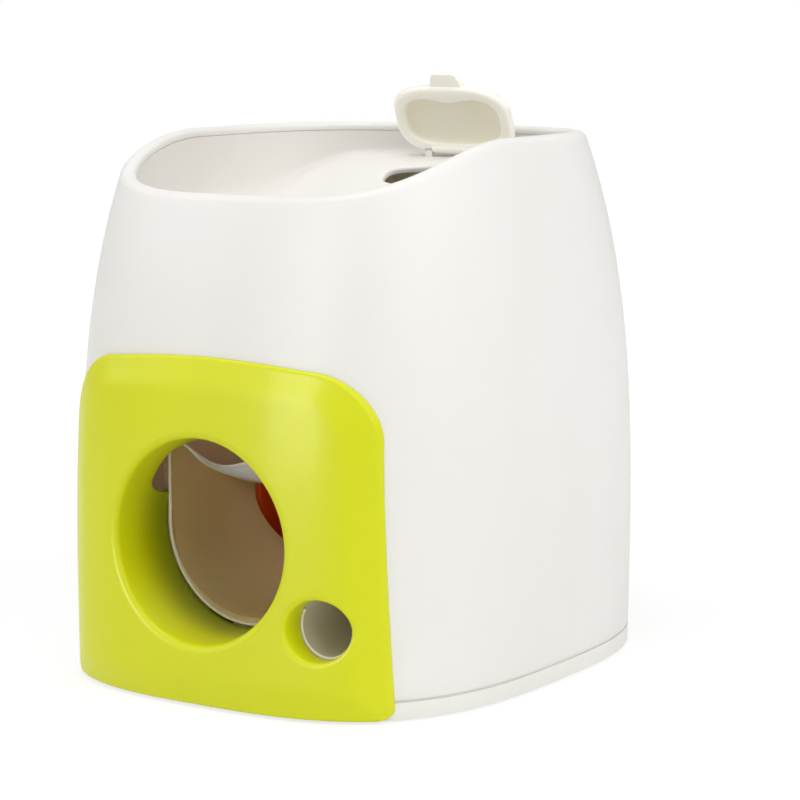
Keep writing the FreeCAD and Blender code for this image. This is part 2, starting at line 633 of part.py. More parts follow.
def treat_opening():
    """Hole through the shelf under the front half of the closed lid."""
    lid_end = 2.0 * LID_HALF_HEIGHT - LID_EDGE_BELOW_PIN
    middle = lid_end - OPENING_LAP - OPENING_HALF_HEIGHT
    hole = lid_frame(oval_prism(OPENING_HALF_WIDTH, OPENING_HALF_HEIGHT, middle,
                                -LID_THICKNESS, 4.0 * BOWL_WALL))
    return hole.rotated(Vector(0, HINGE_Y, HINGE_Z), Vector(1, 0, 0), LID_CLOSE_ANGLE)


def hopper_bowl():
    form = bowl_form(BOWL_WALL).common(shelf_profile(BOWL_WALL))
    tube = rod(THROAT_RADIUS + BOWL_WALL, (0, THROAT_Y, DROP_TUBE_BOTTOM), (0, THROAT_Y, DROP_TUBE_TOP))
    post = SHELL_POST_DIAMETER / 2.0
    posts = [rod(post, (x, y, BOWL_LUG_Z), (x, y, BOWL_BREAK_Z)) for x, y in BOWL_POSTS]
    posts += [rod(post, (x, y, BIN_COLLAR_Z), (x, y, SHELF_BREAK_Z)) for x, y in BIN_EARS]
    solid = join([form, tube] + posts)
    hollow = bowl_form(0.0).common(shelf_profile(0.0))
    solid = solid.cut([hollow, rod(THROAT_RADIUS, (0, THROAT_Y, 0), (0, THROAT_Y, BOWL_BREAK_Z))])
    solid = solid.common(below_rim(-SEAT_GAP))
    ears = []
    for sx in (-1, 1):
        x0 = sx * (HINGE_BARREL_LENGTH / 2.0 + SEAT_GAP)
        x1 = x0 + sx * HINGE_EAR_THICKNESS
        low, high = sorted((x0, x1))
        foot = box(low, high, HINGE_Y - HINGE_BARREL_RADIUS, HINGE_Y + HINGE_BARREL_RADIUS,
                   SHELF_BREAK_Z - BOWL_WALL / 2.0, HINGE_Z)
        ears.append(foot)
        ears.append(rod(HINGE_BARREL_RADIUS, (low, HINGE_Y, HINGE_Z), (high, HINGE_Y, HINGE_Z)))
    solid = join([solid] + ears)
    ear_end = HINGE_BARREL_LENGTH / 2.0 + SEAT_GAP + HINGE_EAR_THICKNESS
    holes = [rod(HINGE_PIN_DIAMETER / 2.0, (-ear_end, HINGE_Y, HINGE_Z), (ear_end, HINGE_Y, HINGE_Z))]
    holes.append(treat_opening())
    for x, y in BOWL_POSTS:
        holes.append(pilot((x, y, BOWL_LUG_Z - LUG_THICKNESS), (0, 0, 1)))
    for x, y in BIN_EARS:
        holes.append(pilot((x, y, BIN_COLLAR_Z - BIN_EAR_THICKNESS), (0, 0, 1)))
    return solid.cut(holes)


def treat_lid():
    back = LID_SEAT - LID_THICKNESS
    leaf = lid_prism(0.0, back, LID_SEAT)
    leaf = leaf.cut(lid_prism(LID_RIM, LID_SEAT - LID_RECESS, LID_SEAT + OVERSHOOT))
    tab_low = 2.0 * LID_HALF_HEIGHT - LID_EDGE_BELOW_PIN - LID_RIM
    tab_high = 2.0 * LID_HALF_HEIGHT - LID_EDGE_BELOW_PIN + LID_TAB_HEIGHT
    tab_back = back + (LID_THICKNESS - LID_TAB_THICKNESS) / 2.0
    corners = [
        Vector(-LID_TAB_BASE / 2.0, -tab_back, tab_low),
        Vector(LID_TAB_BASE / 2.0, -tab_back, tab_low),
        Vector(LID_TAB_TOP / 2.0, -tab_back, tab_high),
        Vector(-LID_TAB_TOP / 2.0, -tab_back, tab_high),
    ]
    tab = Part.Face(Part.makePolygon(corners + corners[:1])).extrude(Vector(0, -LID_TAB_THICKNESS, 0))
    half = HINGE_BARREL_LENGTH / 2.0
    barrel = rod(HINGE_BARREL_RADIUS, (-half, 0, 0), (half, 0, 0))
    lid = join([leaf, tab, barrel])
    notch_top = HINGE_BARREL_RADIUS * SHELF_COS + HINGE_ABOVE_LAND * SHELF_SIN + SEAT_GAP
    for sx in (-1, 1):
        x0, x1 = sorted((sx * half, sx * (half + HINGE_EAR_THICKNESS + 2.0 * SEAT_GAP)))
        lid = lid.cut(box(x0, x1, -LID_THICKNESS, LID_THICKNESS, -LID_THICKNESS, notch_top))
    bore = rod(HINGE_PIN_DIAMETER / 2.0 + RUNNING_GAP, (-LID_HALF_WIDTH, 0, 0), (LID_HALF_WIDTH, 0, 0))
    return lid_frame(lid.cut(bore))


def lid_hinge_pin():
    end = HINGE_BARREL_LENGTH / 2.0 + SEAT_GAP + HINGE_EAR_THICKNESS
    return rod(HINGE_PIN_DIAMETER / 2.0, (-end, HINGE_Y, HINGE_Z), (end, HINGE_Y, HINGE_Z))


# ---------------------------------------------------------------- treat bin
def bin_form(offset, overshoot):
    """Funnel from a collar below the lid, by a knee, down to the drum case's inlet."""
    centre_y = (BIN_FRONT_Y + BIN_BACK_Y) / 2.0
    inlet_y = AXLE_Y + INLET_OFFSET_Y
    inlet = (INLET_X / 2.0, INLET_Y / 2.0, DRUM_X, inlet_y)
    knee = (BIN_KNEE_HALF_X, BIN_KNEE_HALF_Y, BIN_KNEE_X, BIN_KNEE_Y)
    collar = (BIN_HALF_WIDTH, (BIN_BACK_Y - BIN_FRONT_Y) / 2.0, 0.0, centre_y)
    sections = [
        (inlet, INLET_TOP - overshoot),
        (inlet, INLET_TOP + BIN_SPOUT),
        (knee, BIN_KNEE_Z),
        (collar, BIN_COLLAR_Z),
        (collar, SHELF_BREAK_Z + 2.0 * OVERSHOOT),
    ]
    wires = []
    for (half_x, half_y, x, y), z in sections:
        wires.append(rounded_box(half_x + offset, half_y + offset, x, y, z, BIN_CORNER + offset))
    return Part.makeLoft(wires, True, True)


def treat_bin():
    under = BIN_COLLAR_Z - BIN_EAR_THICKNESS
    ears = [rod(SHELL_POST_DIAMETER / 2.0, (x, y, under), (x, y, BIN_COLLAR_Z)) for x, y in BIN_EARS]
    room = [rod(SHELL_POST_DIAMETER / 2.0 + SEAT_GAP, (x, y, BIN_COLLAR_Z), (x, y, SHELF_BREAK_Z))
            for x, y in BIN_EARS]
    body = join([bin_form(BIN_WALL, 0.0)] + ears)
    body = body.cut([bin_form(0.0, OVERSHOOT), shelf_profile(BOWL_WALL + SEAT_GAP)] + room)
    return body.cut([pilot((x, y, under), (0, 0, 1)) for x, y in BIN_EARS])


# ---------------------------------------------------------------- ball chute
def trough_form(radius, top, start_y, end_y):
    """Round-bottomed channel along the chute's slope, with upright sides."""
    slope = math.tan(math.radians(CHUTE_SLOPE))

    def section(y):
        z = CHUTE_FRONT_Z + (y - CHUTE_START_Y) * slope
        arc = Part.Arc(Vector(-radius, y, z), Vector(0, y, z - radius), Vector(radius, y, z)).toShape()
        rise = [
            Part.makeLine(Vector(radius, y, z), Vector(radius, y, top)),
            Part.makeLine(Vector(radius, y, top), Vector(-radius, y, top)),
            Part.makeLine(Vector(-radius, y, top), Vector(-radius, y, z)),
        ]
        return Part.Wire([arc] + rise)

    return Part.makeLoft([section(start_y), section(end_y)], True, True)


def chute_top_cut():
    """Everything above the chute's top edge, which scoops down behind the front."""
    curve = Part.BSplineCurve()
    rise = (CHUTE_TOP_FRONT - CHUTE_TOP_BACK) * CHUTE_SCOOP_RISE
    middle_y = CHUTE_START_Y + (THROAT_Y - CHUTE_START_Y) * CHUTE_SCOOP_STATION
    curve.interpolate([
        Vector(-BIG, CHUTE_START_Y, CHUTE_TOP_FRONT),
        Vector(-BIG, middle_y, CHUTE_TOP_BACK + rise),
        Vector(-BIG, THROAT_Y, CHUTE_TOP_BACK),
    ], InitialTangent=Vector(0, 1, -CHUTE_SCOOP_FALL), FinalTangent=Vector(0, 1, 0))
    corners = [
        Vector(-BIG, THROAT_Y, CHUTE_TOP_BACK),
        Vector(-BIG, BIG, CHUTE_TOP_BACK),
        Vector(-BIG, BIG, BIG),
        Vector(-BIG, -BIG, BIG),
        Vector(-BIG, -BIG, CHUTE_TOP_FRONT),
        Vector(-BIG, CHUTE_START_Y, CHUTE_TOP_FRONT),
    ]
    lines = [Part.makeLine(a, b) for a, b in zip(corners, corners[1:])]
    face = Part.Face(Part.Wire([curve.toShape()] + lines))
    return face.extrude(Vector(2.0 * BIG, 0, 0))


def ball_chute():
    top = CHUTE_TOP_FRONT + OVERSHOOT
    parts = [trough_form(CHUTE_OUTER, top, CHUTE_START_Y, AXLE_Y)]
    parts.append(axle_rod(WELL_OUTER, -CHUTE_OUTER, CHUTE_OUTER))
    parts.append(box(-CHUTE_OUTER, CHUTE_OUTER, AXLE_Y, AXLE_Y + WELL_OUTER, AXLE_Z, top))
    for x, y in BALL_CHUTE_LEGS:
        parts.append(rod(LEG_DIAMETER / 2.0, (x, y, BASE_BOSS_TOP), (x, y, AXLE_Z)))
    parts.append(axle_rod(BUSH_BOSS_DIAMETER / 2.0, LEFT_BOSS_X, -CHUTE_RADIUS))
    boss_end = CHUTE_OUTER + CHUTE_BOSS_LENGTH
    for y, z in CASE_BOSSES:
        parts.append(rod(CASE_BOSS_DIAMETER / 2.0, (CHUTE_RADIUS, y, z), (boss_end, y, z)))
    chute = join(parts)
    room = [trough_form(CHUTE_RADIUS, top, CHUTE_START_Y - OVERSHOOT, AXLE_Y)]
    room.append(axle_rod(WELL_RADIUS, -CHUTE_RADIUS, CHUTE_RADIUS))
    room.append(box(-CHUTE_RADIUS, CHUTE_RADIUS, AXLE_Y, AXLE_Y + WELL_RADIUS, AXLE_Z, top))
    room.append(chute_top_cut())
    room.append(axle_rod(BUSH_DIAMETER / 2.0, LEFT_BOSS_X, -CHUTE_RADIUS))
    room.append(axle_rod(SHAFT_DIAMETER / 2.0 + SLIDE_GAP, 0, CHUTE_OUTER))
    for x, y in BALL_CHUTE_LEGS:
        room.append(pilot((x, y, SCREW_SEAT), (0, 0, 1)))
    for y, z in CASE_BOSSES:
        room.append(pilot((COVER_X, y, z), (-1, 0, 0), CASE_SCREW_LENGTH))
    return chute.cut(room)


# ---------------------------------------------------------------- wheel and shaft
def paddle_wheel():
    inner = WHEEL_HALF_LENGTH - WHEEL_DISC
    parts = [axle_rod(WHEEL_HUB_RADIUS, -WHEEL_HALF_LENGTH, WHEEL_HALF_LENGTH)]
    parts.append(axle_rod(WHEEL_RADIUS, -WHEEL_HALF_LENGTH, -inner))
    parts.append(axle_rod(WHEEL_RADIUS, inner, WHEEL_HALF_LENGTH))
    for i in range(BLADE_COUNT):
        blade = box(-inner, inner, AXLE_Y, AXLE_Y + WHEEL_RADIUS,
                    AXLE_Z - BLADE_THICKNESS / 2.0, AXLE_Z + BLADE_THICKNESS / 2.0)
        turn = BLADE_PHASE + 360.0 * i / BLADE_COUNT
        parts.append(blade.rotated(Vector(0, AXLE_Y, AXLE_Z), Vector(1, 0, 0), turn))
    wheel = join(parts).common(axle_rod(WHEEL_RADIUS, -WHEEL_HALF_LENGTH, WHEEL_HALF_LENGTH))
    return wheel.cut([axle_rod(SHAFT_DIAMETER / 2.0, -BODY_HALF_WIDTH, BODY_HALF_WIDTH), drive_pin_rod()])


def drive_pin_rod():
    """Cross pin through the hub and shaft, half way between two blades."""
    angle = math.radians(BLADE_PHASE + 180.0 / BLADE_COUNT)
    along = Vector(0, math.cos(angle), math.sin(angle)) * WHEEL_HUB_RADIUS
    centre = Vector(0, AXLE_Y, AXLE_Z)
    return rod(DRIVE_PIN_DIAMETER / 2.0, centre - along, centre + along)


def shaft_flat():
    """Room beyond the drive flat on the drum's end of the shaft."""
    depth = SHAFT_DIAMETER / 2.0 - SHAFT_FLAT_DEPTH
    return box(DRUM_INNER_X, DRUM_OUTER_X, AXLE_Y - SHAFT_DIAMETER, AXLE_Y + SHAFT_DIAMETER,
               AXLE_Z + depth, AXLE_Z + SHAFT_DIAMETER)


def wheel_shaft():
    shaft = axle_rod(SHAFT_DIAMETER / 2.0, SHAFT_LEFT_X, SHAFT_RIGHT_X)
    grooves = []
    for x in (LEFT_FLANGE_X - RUNNING_GAP - CLIP_THICKNESS, RIGHT_FLANGE_X + RUNNING_GAP):
        ring = axle_rod(SHAFT_DIAMETER, x, x + CLIP_THICKNESS)
        core = axle_rod(SHAFT_DIAMETER / 2.0 - SHAFT_GROOVE_DEPTH, x, x + CLIP_THICKNESS)
        grooves.append(ring.cut(core))
    return shaft.cut(grooves + [drive_pin_rod(), shaft_flat()])


def shaft_clips():
    clips = []
    for x in (LEFT_FLANGE_X - RUNNING_GAP - CLIP_THICKNESS, RIGHT_FLANGE_X + RUNNING_GAP):
        ring = axle_rod(CLIP_DIAMETER / 2.0, x, x + CLIP_THICKNESS)
        bore = axle_rod(SHAFT_DIAMETER / 2.0 - SHAFT_GROOVE_DEPTH, x, x + CLIP_THICKNESS)
        mouth = box(x, x + CLIP_THICKNESS, AXLE_Y - CLIP_MOUTH / 2.0, AXLE_Y + CLIP_MOUTH / 2.0,
                    AXLE_Z - CLIP_DIAMETER, AXLE_Z)
        clips.append(ring.cut([bore, mouth]))
    return clips


def bush(inner_x, boss_x):
    """Flanged sleeve bush: the sleeve fills its boss, the flange lies outside."""
    outward = math.copysign(1.0, boss_x)
    sleeve = axle_rod(BUSH_DIAMETER / 2.0, *sorted((inner_x, boss_x)))
    flange = axle_rod(BUSH_FLANGE_DIAMETER / 2.0, *sorted((boss_x, boss_x + outward * BUSH_FLANGE)))
    bore = axle_rod(SHAFT_DIAMETER / 2.0 + RUNNING_GAP, -BODY_HALF_WIDTH, BODY_HALF_WIDTH)
    return join([sleeve, flange]).cut(bore)


# ---------------------------------------------------------------- treat metering
def metering_drum():
    drum = axle_rod(DRUM_RADIUS, DRUM_INNER_X, DRUM_OUTER_X)
    holes = [axle_rod(SHAFT_DIAMETER / 2.0, DRUM_INNER_X, DRUM_OUTER_X).cut(shaft_flat())]
    start = DRUM_X - POCKET_LENGTH / 2.0
    end = DRUM_X + POCKET_LENGTH / 2.0
    for i in range(POCKET_COUNT):
        angle = math.radians(90.0 + 360.0 * i / POCKET_COUNT)
        y = AXLE_Y + DRUM_RADIUS * math.cos(angle)
        z = AXLE_Z + DRUM_RADIUS * math.sin(angle)
        holes.append(rod(POCKET_RADIUS, (start, y, z), (end, y, z)))
    return drum.cut(holes)


def case_outlet():
    """Wedge that opens the bottom of the case between two angles."""
    reach = 2.0 * CASE_OUTER
    x = DRUM_X - INLET_X / 2.0
    corners = [Vector(x, AXLE_Y, AXLE_Z)]
    for angle in (OUTLET_FRONT_ANGLE, OUTLET_BACK_ANGLE):
        turn = math.radians(angle)
        corners.append(Vector(x, AXLE_Y + reach * math.cos(turn), AXLE_Z + reach * math.sin(turn)))
    return Part.Face(Part.makePolygon(corners + corners[:1])).extrude(Vector(INLET_X, 0, 0))


def drum_case():
    inlet_y = AXLE_Y + INLET_OFFSET_Y
    neck_x = INLET_X / 2.0 + CASE_WALL
    neck_y = INLET_Y / 2.0 + CASE_WALL
    neck_top = INLET_TOP - SEAT_GAP
    parts = [axle_rod(CASE_OUTER, CASE_INNER_X, CASE_OPEN_X)]
    parts.append(box(DRUM_X - neck_x, DRUM_X + neck_x, inlet_y - neck_y, inlet_y + neck_y,
                     AXLE_Z, neck_top))
    boss_start = CHUTE_OUTER + CHUTE_BOSS_LENGTH
    for y, z in CASE_BOSSES:
        parts.append(rod(CASE_BOSS_DIAMETER / 2.0, (boss_start, y, z), (CASE_OPEN_X, y, z)))
    case = join(parts)
    holes = [axle_rod(CASE_RADIUS, CASE_INNER_X + CASE_SIDE_WALL, CASE_OPEN_X)]
    holes.append(axle_rod(SHAFT_DIAMETER / 2.0 + SLIDE_GAP, CASE_INNER_X, CASE_OPEN_X))
    holes.append(box(DRUM_X - INLET_X / 2.0, DRUM_X + INLET_X / 2.0, inlet_y - INLET_Y / 2.0,
                     inlet_y + INLET_Y / 2.0, AXLE_Z, neck_top))
    holes.append(case_outlet())
    for y, z in CASE_BOSSES:
        holes.append(pilot((COVER_X, y, z), (-1, 0, 0), CASE_SCREW_LENGTH))
    return case.cut(holes)


def drum_case_cover():
    parts = [axle_rod(CASE_OUTER, CASE_OPEN_X, COVER_X)]
    parts.append(axle_rod(BUSH_BOSS_DIAMETER / 2.0, CASE_OPEN_X, RIGHT_BOSS_X))
    for y, z in CASE_BOSSES:
        parts.append(rod(CASE_BOSS_DIAMETER / 2.0, (CASE_OPEN_X, y, z), (COVER_X, y, z)))
    holes = [axle_rod(BUSH_DIAMETER / 2.0, CASE_OPEN_X, RIGHT_BOSS_X)]
    for y, z in CASE_BOSSES:
        holes.append(pilot((COVER_X, y, z), (-1, 0, 0), CASE_SCREW_LENGTH))
    return join(parts).cut(holes)


def treat_wiper():
    """Rubber strip on the front wall of the inlet, just above the drum."""
    y0 = AXLE_Y + INLET_OFFSET_Y - INLET_Y / 2.0
    bottom = AXLE_Z + DRUM_RADIUS + SLIDE_GAP
    half = INLET_X / 2.0
    return box(DRUM_X - half, DRUM_X + half, y0, y0 + WIPER_THICKNESS, bottom, bottom + WIPER_HEIGHT)


def treat_chute():
    """Half-round tray on two legs, falling from the drum to the treat hole."""
    front = tray_point(0.0)
    back = tray_point(1.0)

    def trough(grow, start, end):
        wires = []
        for centre, radius in ((start, TRAY_RADIUS + grow), (end, TRAY_BACK_RADIUS + grow)):
            left = centre - Vector(radius, 0, 0)
            right = centre + Vector(radius, 0, 0)
            arc = Part.Arc(left, centre - Vector(0, 0, radius), right).toShape()
            wires.append(Part.Wire([arc, Part.makeLine(right, left)]))
        return Part.makeLoft(wires, True, True)

    outer = trough(TRAY_WALL, front, back)
    span = back - front
    inner = trough(0.0, front, back - span * (TRAY_WALL / span.Length))
    legs = []
    for share in TRAY_LEG_STATIONS:
        point = tray_point(share)
        leg_top = point.z - TRAY_BACK_RADIUS
        legs.append(rod(LEG_DIAMETER / 2.0, (point.x, point.y, BASE_BOSS_TOP), (point.x, point.y, leg_top)))
    inside = body_form(-SHELL_WALL - SEAT_GAP, SHELL_BOTTOM, AXLE_Z)
    tray = join([outer.common(inside)] + legs).cut(inner)
    return tray.cut([pilot((x, y, SCREW_SEAT), (0, 0, 1)) for x, y in TRAY_LEGS])


# ---------------------------------------------------------------- screws
def upward_screws(places, seat_z):
    return [screw((x, y, seat_z), (0, 0, 1)) for x, y in places]


def panel_screws():
    return [screw((x, PEG_END_Y, z), (0, -1, 0), PEG_SCREW_LENGTH, WASHER_HEAD_DIAMETER)
            for x, z in PANEL_PEGS]


def case_screws():
    return [screw((COVER_X, y, z), (-1, 0, 0), CASE_SCREW_LENGTH) for y, z in CASE_BOSSES]


NODES = {
    "housing_shell": housing_shell,
    "base_plate": base_plate,
    "rubber_feet": rubber_feet,
    "front_panel": front_panel,
    "hopper_bowl": hopper_bowl,
    "treat_lid": treat_lid,
    "lid_hinge_pin": lid_hinge_pin,
    "treat_bin": treat_bin,
    "ball_chute": ball_chute,
    "treat_chute": treat_chute,
    "paddle_wheel": paddle_wheel,
    "wheel_shaft": wheel_shaft,
    "wheel_drive_pin": drive_pin_rod,
    "shaft_clips": shaft_clips,
    "left_bush": lambda: bush(-CHUTE_RADIUS - SLIDE_GAP, LEFT_BOSS_X),
    "right_bush": lambda: bush(CASE_OPEN_X, RIGHT_BOSS_X),
    "metering_drum": metering_drum,
    "drum_case": drum_case,
    "drum_case_cover": drum_case_cover,
    "treat_wiper": treat_wiper,
    "base_screws": lambda: upward_screws(SHELL_POSTS, SCREW_SEAT),
    "chute_screws": lambda: upward_screws(BALL_CHUTE_LEGS + TRAY_LEGS, SCREW_SEAT),
    "bowl_screws": lambda: upward_screws(BOWL_POSTS, BOWL_LUG_Z - LUG_THICKNESS),
    "bin_screws": lambda: upward_screws(BIN_EARS, BIN_COLLAR_Z - BIN_EAR_THICKNESS),
    "panel_screws": panel_screws,
    "case_screws": case_screws,
}

os.makedirs("parts", exist_ok=True)
for name, make in NODES.items():
    shape = make()
    if isinstance(shape, list):
        shape = Part.makeCompound(shape)
    shape.translate(Vector(0, ORIGIN_SHIFT, 0))
    print(name, shape.isValid(), len(shape.Solids), round(shape.Volume))
    shape.exportStep("parts/" + name + ".step")
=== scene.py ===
import math

import bmesh
import bpy
import numpy as np
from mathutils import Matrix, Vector, geometry


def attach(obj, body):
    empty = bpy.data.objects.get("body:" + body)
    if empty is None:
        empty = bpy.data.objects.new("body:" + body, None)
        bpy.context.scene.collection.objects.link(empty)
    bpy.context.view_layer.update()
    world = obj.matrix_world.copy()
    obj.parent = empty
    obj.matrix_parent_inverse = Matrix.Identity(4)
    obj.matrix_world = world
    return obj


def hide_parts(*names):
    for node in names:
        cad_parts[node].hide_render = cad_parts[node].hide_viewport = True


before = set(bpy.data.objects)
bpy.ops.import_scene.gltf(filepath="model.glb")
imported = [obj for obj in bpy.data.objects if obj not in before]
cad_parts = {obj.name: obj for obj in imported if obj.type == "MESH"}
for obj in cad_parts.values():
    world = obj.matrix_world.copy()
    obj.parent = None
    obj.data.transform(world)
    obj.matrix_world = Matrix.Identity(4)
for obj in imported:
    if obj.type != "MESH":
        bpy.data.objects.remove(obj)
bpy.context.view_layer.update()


def new_piece(name, data):
    """Object for a mesh, lamp or camera, linked to the scene."""
    piece = bpy.data.objects.new(name, data)
    bpy.context.scene.collection.objects.link(piece)
    return piece


# ---------- viewer
# The launcher is seen from its front right, a little from above and from far
# enough back that its upright edges stay almost parallel.
VIEWER_LENS = 122.4
VIEWER_NEAR = 0.01
VIEWER_PLACE = (0.5697, -0.8426, 0.2476)
VIEWER_AIM = (0.0120, 0.0093, 0.0967)
viewer_data = bpy.data.cameras.new("viewer")
viewer_data.lens = VIEWER_LENS
viewer_data.clip_start = VIEWER_NEAR
viewer = new_piece("viewer", viewer_data)
viewer.location = VIEWER_PLACE
gaze = Vector(VIEWER_AIM) - viewer.location
viewer.rotation_euler = gaze.to_track_quat("-Z", "Y").to_euler()
bpy.context.scene.camera = viewer
bpy.context.scene.view_settings.view_transform = "Standard"


# ---------- housing shell
# One deep injection moulding in off-white ABS: a rounded square tub, open at
# the bottom, whose wall rolls over at the rim into a soft lip. It sits on the
# base plate with a fine shadow gap and is screwed down from below.
MM = 0.001
FRONT_SHIFT = 1.8
BODY_HEIGHT = 198.0
SHELL_FOOT = 7.5
SHELL_WALL = 2.5
BOWL_INSET = 5.3
BODY_HALF = (87.8, 103.0)
BODY_TAPER = (16.0, 26.0)
TAPER_POWER = 3.4
SQUARENESS_LOW = 2.95
SQUARENESS_GAIN = 0.4
RIM_LINE = ([-84.0, -45.0, -12.0], [179.5, 192.8, 198.0], [0.3, 0.294, 0.0])
RIM_GUESS = 190.0
FOOT_ROUND = 0.5
LIP_DROP = 0.8
LIP_CHAMFER = 0.3
LEDGE_GAP = 0.2
BALL_HOLE = (0.0, 59.3, 36.3)
TREAT_HOLE = (48.2, 32.7, 11.0)
WAY_RADII = (38.8, 13.1)
WAY_DEPTHS = (-130.0, -60.0)
CREASE = 35.0
WELD = 0.00001
AROUND = 480
CIRCLE_COUNT = 96


def full_turn(count):
    """Evenly spaced angles of one whole turn."""
    return np.linspace(0.0, 2.0 * math.pi, count, endpoint=False)


turns = full_turn(AROUND)


def placed(x, y, z):
    """Place in metres of a point given in millimetres about the body's middle."""
    return x * MM, (y + FRONT_SHIFT) * MM, z * MM


def body_section(z):
    """Half width, half depth and squareness of the body at a height."""
    rise = np.maximum(z, 0.0) / BODY_HEIGHT
    taper = rise ** TAPER_POWER
    return (BODY_HALF[0] - BODY_TAPER[0] * taper, BODY_HALF[1] - BODY_TAPER[1] * taper,
            SQUARENESS_LOW + SQUARENESS_GAIN * rise)


def reach_to(across, along, half_x, half_y, squareness):
    """How far a direction has to be stretched to end on a superellipse."""
    total = np.abs(across / half_x) ** squareness + np.abs(along / half_y) ** squareness
    return total ** (-1.0 / squareness)


def oval(half_x, half_y, squareness, centre_y, z):
    """Points of a superellipse around a centre on the body's middle plane."""
    across, along = np.cos(turns), np.sin(turns)
    reach = reach_to(across, along, half_x, half_y, squareness)
    return np.stack([reach * across, centre_y + reach * along, z + 0.0 * reach], -1)


def wall_points(z, inset=0.0):
    """Points all round the body's wall at given heights, moved in by an inset."""
    half_width, half_depth, squareness = body_section(z)
    return oval(half_width - inset, half_depth - inset, squareness, 0.0, z)


def eased_line(at, stations, heights, slopes):
    """Smooth curve through stations with given heights and slopes, level beyond both ends."""
    at = np.clip(at, stations[0], stations[-1])
    i = np.clip(np.searchsorted(stations, at, side="right") - 1, 0, len(stations) - 2)
    stations, heights, slopes = np.array(stations), np.array(heights), np.array(slopes)
    span = stations[i + 1] - stations[i]
    t = (at - stations[i]) / span
    start = (2 * t ** 3 - 3 * t ** 2 + 1) * heights[i]
    start = start + (t ** 3 - 2 * t ** 2 + t) * span * slopes[i]
    end = (3 * t ** 2 - 2 * t ** 3) * heights[i + 1] + (t ** 3 - t ** 2) * span * slopes[i + 1]
    return start + end


def rim_height(y):
    """Height of the rim line: level at the back, falling in a soft curve to the front."""
    return eased_line(y, *RIM_LINE)


def soften(mesh, crease=CREASE):
    """Shades a mesh smooth, but for edges sharper than a number of degrees."""
    mesh.shade_smooth()
    mesh.set_sharp_from_angle(angle=math.radians(crease))


def bridge(skin, rows):
    """Quads between closed rows of vertices."""
    for low, high in zip(rows, rows[1:]):
        for i in range(len(low)):
            j = (i + 1) % len(low)
            skin.faces.new((low[i], low[j], high[j], high[i]))


def close_skin(name, skin, crease):
    """Turns a finished skin into a piece with outward normals."""
    bmesh.ops.recalc_face_normals(skin, faces=skin.faces)
    mesh = bpy.data.meshes.new(name)
    skin.to_mesh(mesh)
    skin.free()
    soften(mesh, crease)
    return new_piece(name, mesh)


def loft(name, rows, closed_tube=False, caps=True, crease=CREASE):
    """Piece whose skin runs through closed rows of points, given in millimetres."""
    skin = bmesh.new()
    grid = [[skin.verts.new(placed(*point)) for point in np.asarray(row, float)] for row in rows]
    bridge(skin, grid + grid[:1] if closed_tube else grid)
    if caps and not closed_tube:
        skin.faces.new(grid[0])
        skin.faces.new(grid[-1])
    bmesh.ops.remove_doubles(skin, verts=skin.verts, dist=WELD)
    return close_skin(name, skin, crease)


def settle(piece):
    """Turns a piece with modifiers into a plain mesh."""
    bpy.context.view_layer.update()
    graph = bpy.context.evaluated_depsgraph_get()
    mesh = bpy.data.meshes.new_from_object(piece.evaluated_get(graph))
    piece.modifiers.clear()
    piece.data = mesh
    soften(mesh)


def cut(piece, cutters):
    """Cuts other closed pieces out of a piece and deletes them."""
    for cutter in cutters:
        step = piece.modifiers.new("cut", "BOOLEAN")
        step.operation = "DIFFERENCE"
        step.solver = "EXACT"
        step.object = cutter
    settle(piece)
    for cutter in cutters:
        bpy.data.objects.remove(cutter)


def circle(centre, radius, axis):
    """Circle of points about a centre, square to the x, y or z axis."""
    angles = full_turn(CIRCLE_COUNT)
    first = radius * np.cos(angles)
    second = radius * np.sin(angles)
    flat = 0.0 * angles
    turned = {"x": [flat, first, second], "y": [first, flat, second], "z": [first, second, flat]}
    return np.stack(turned[axis], -1) + np.array(centre, float)


def round_bar(name, start, end, radius, axis, edge=0.0):
    """Round bar along an axis between two points, its ends rounded by an edge radius."""
    start, end = np.array(start, float), np.array(end, float)
    along = (end - start) / np.linalg.norm(end - start)
    rows = []
    for centre, way in ((start, along), (end, -along)):
        turns_in = np.radians([90.0, 60.0, 30.0, 0.0]) if edge else np.array([0.0])
        part = [circle(centre + way * edge * (1.0 - math.sin(a)),
                       radius - edge * (1.0 - math.cos(a)), axis) for a in turns_in]
        rows += part if way is along else part[::-1]
    return loft(name, rows)


top = np.full(AROUND, RIM_GUESS)
for _ in range(8):
    top = rim_height(wall_points(top)[:, 1])
lip_half = BOWL_INSET / 2.0
lip_start = top - lip_half
rows = []
for out, up in ((FOOT_ROUND, 0.0), (0.15, 0.12), (0.0, FOOT_ROUND)):
    rows.append(wall_points(np.full(AROUND, SHELL_FOOT + up), out))
for share in np.linspace(0.0, 1.0, 60)[1:]:
    height = SHELL_FOOT + FOOT_ROUND + (lip_start - SHELL_FOOT - FOOT_ROUND) * share
    rows.append(wall_points(height))
outer = wall_points(lip_start)
inner = wall_points(lip_start, BOWL_INSET)
upward = wall_points(lip_start + 1.0) - outer
upward = upward / np.linalg.norm(upward, axis=1)[:, None]
middle = (outer + inner) / 2.0
half_across = (outer - inner) / 2.0
for turn in np.radians(np.arange(10.0, 171.0, 10.0)):
    rows.append(middle + half_across * math.cos(turn) + upward * lip_half * math.sin(turn))
rows.append(inner)
ledge = lip_start - LIP_DROP
rows.append(wall_points(ledge + LIP_CHAMFER, BOWL_INSET))
rows.append(wall_points(ledge, BOWL_INSET - LIP_CHAMFER))
rows.append(wall_points(ledge, SHELL_WALL + LEDGE_GAP))
for share in np.linspace(0.02, 1.0, 24):
    height = ledge - (ledge - SHELL_FOOT) * share
    rows.append(wall_points(height, SHELL_WALL))
shell = loft("housing_shell_moulding", rows, closed_tube=True)
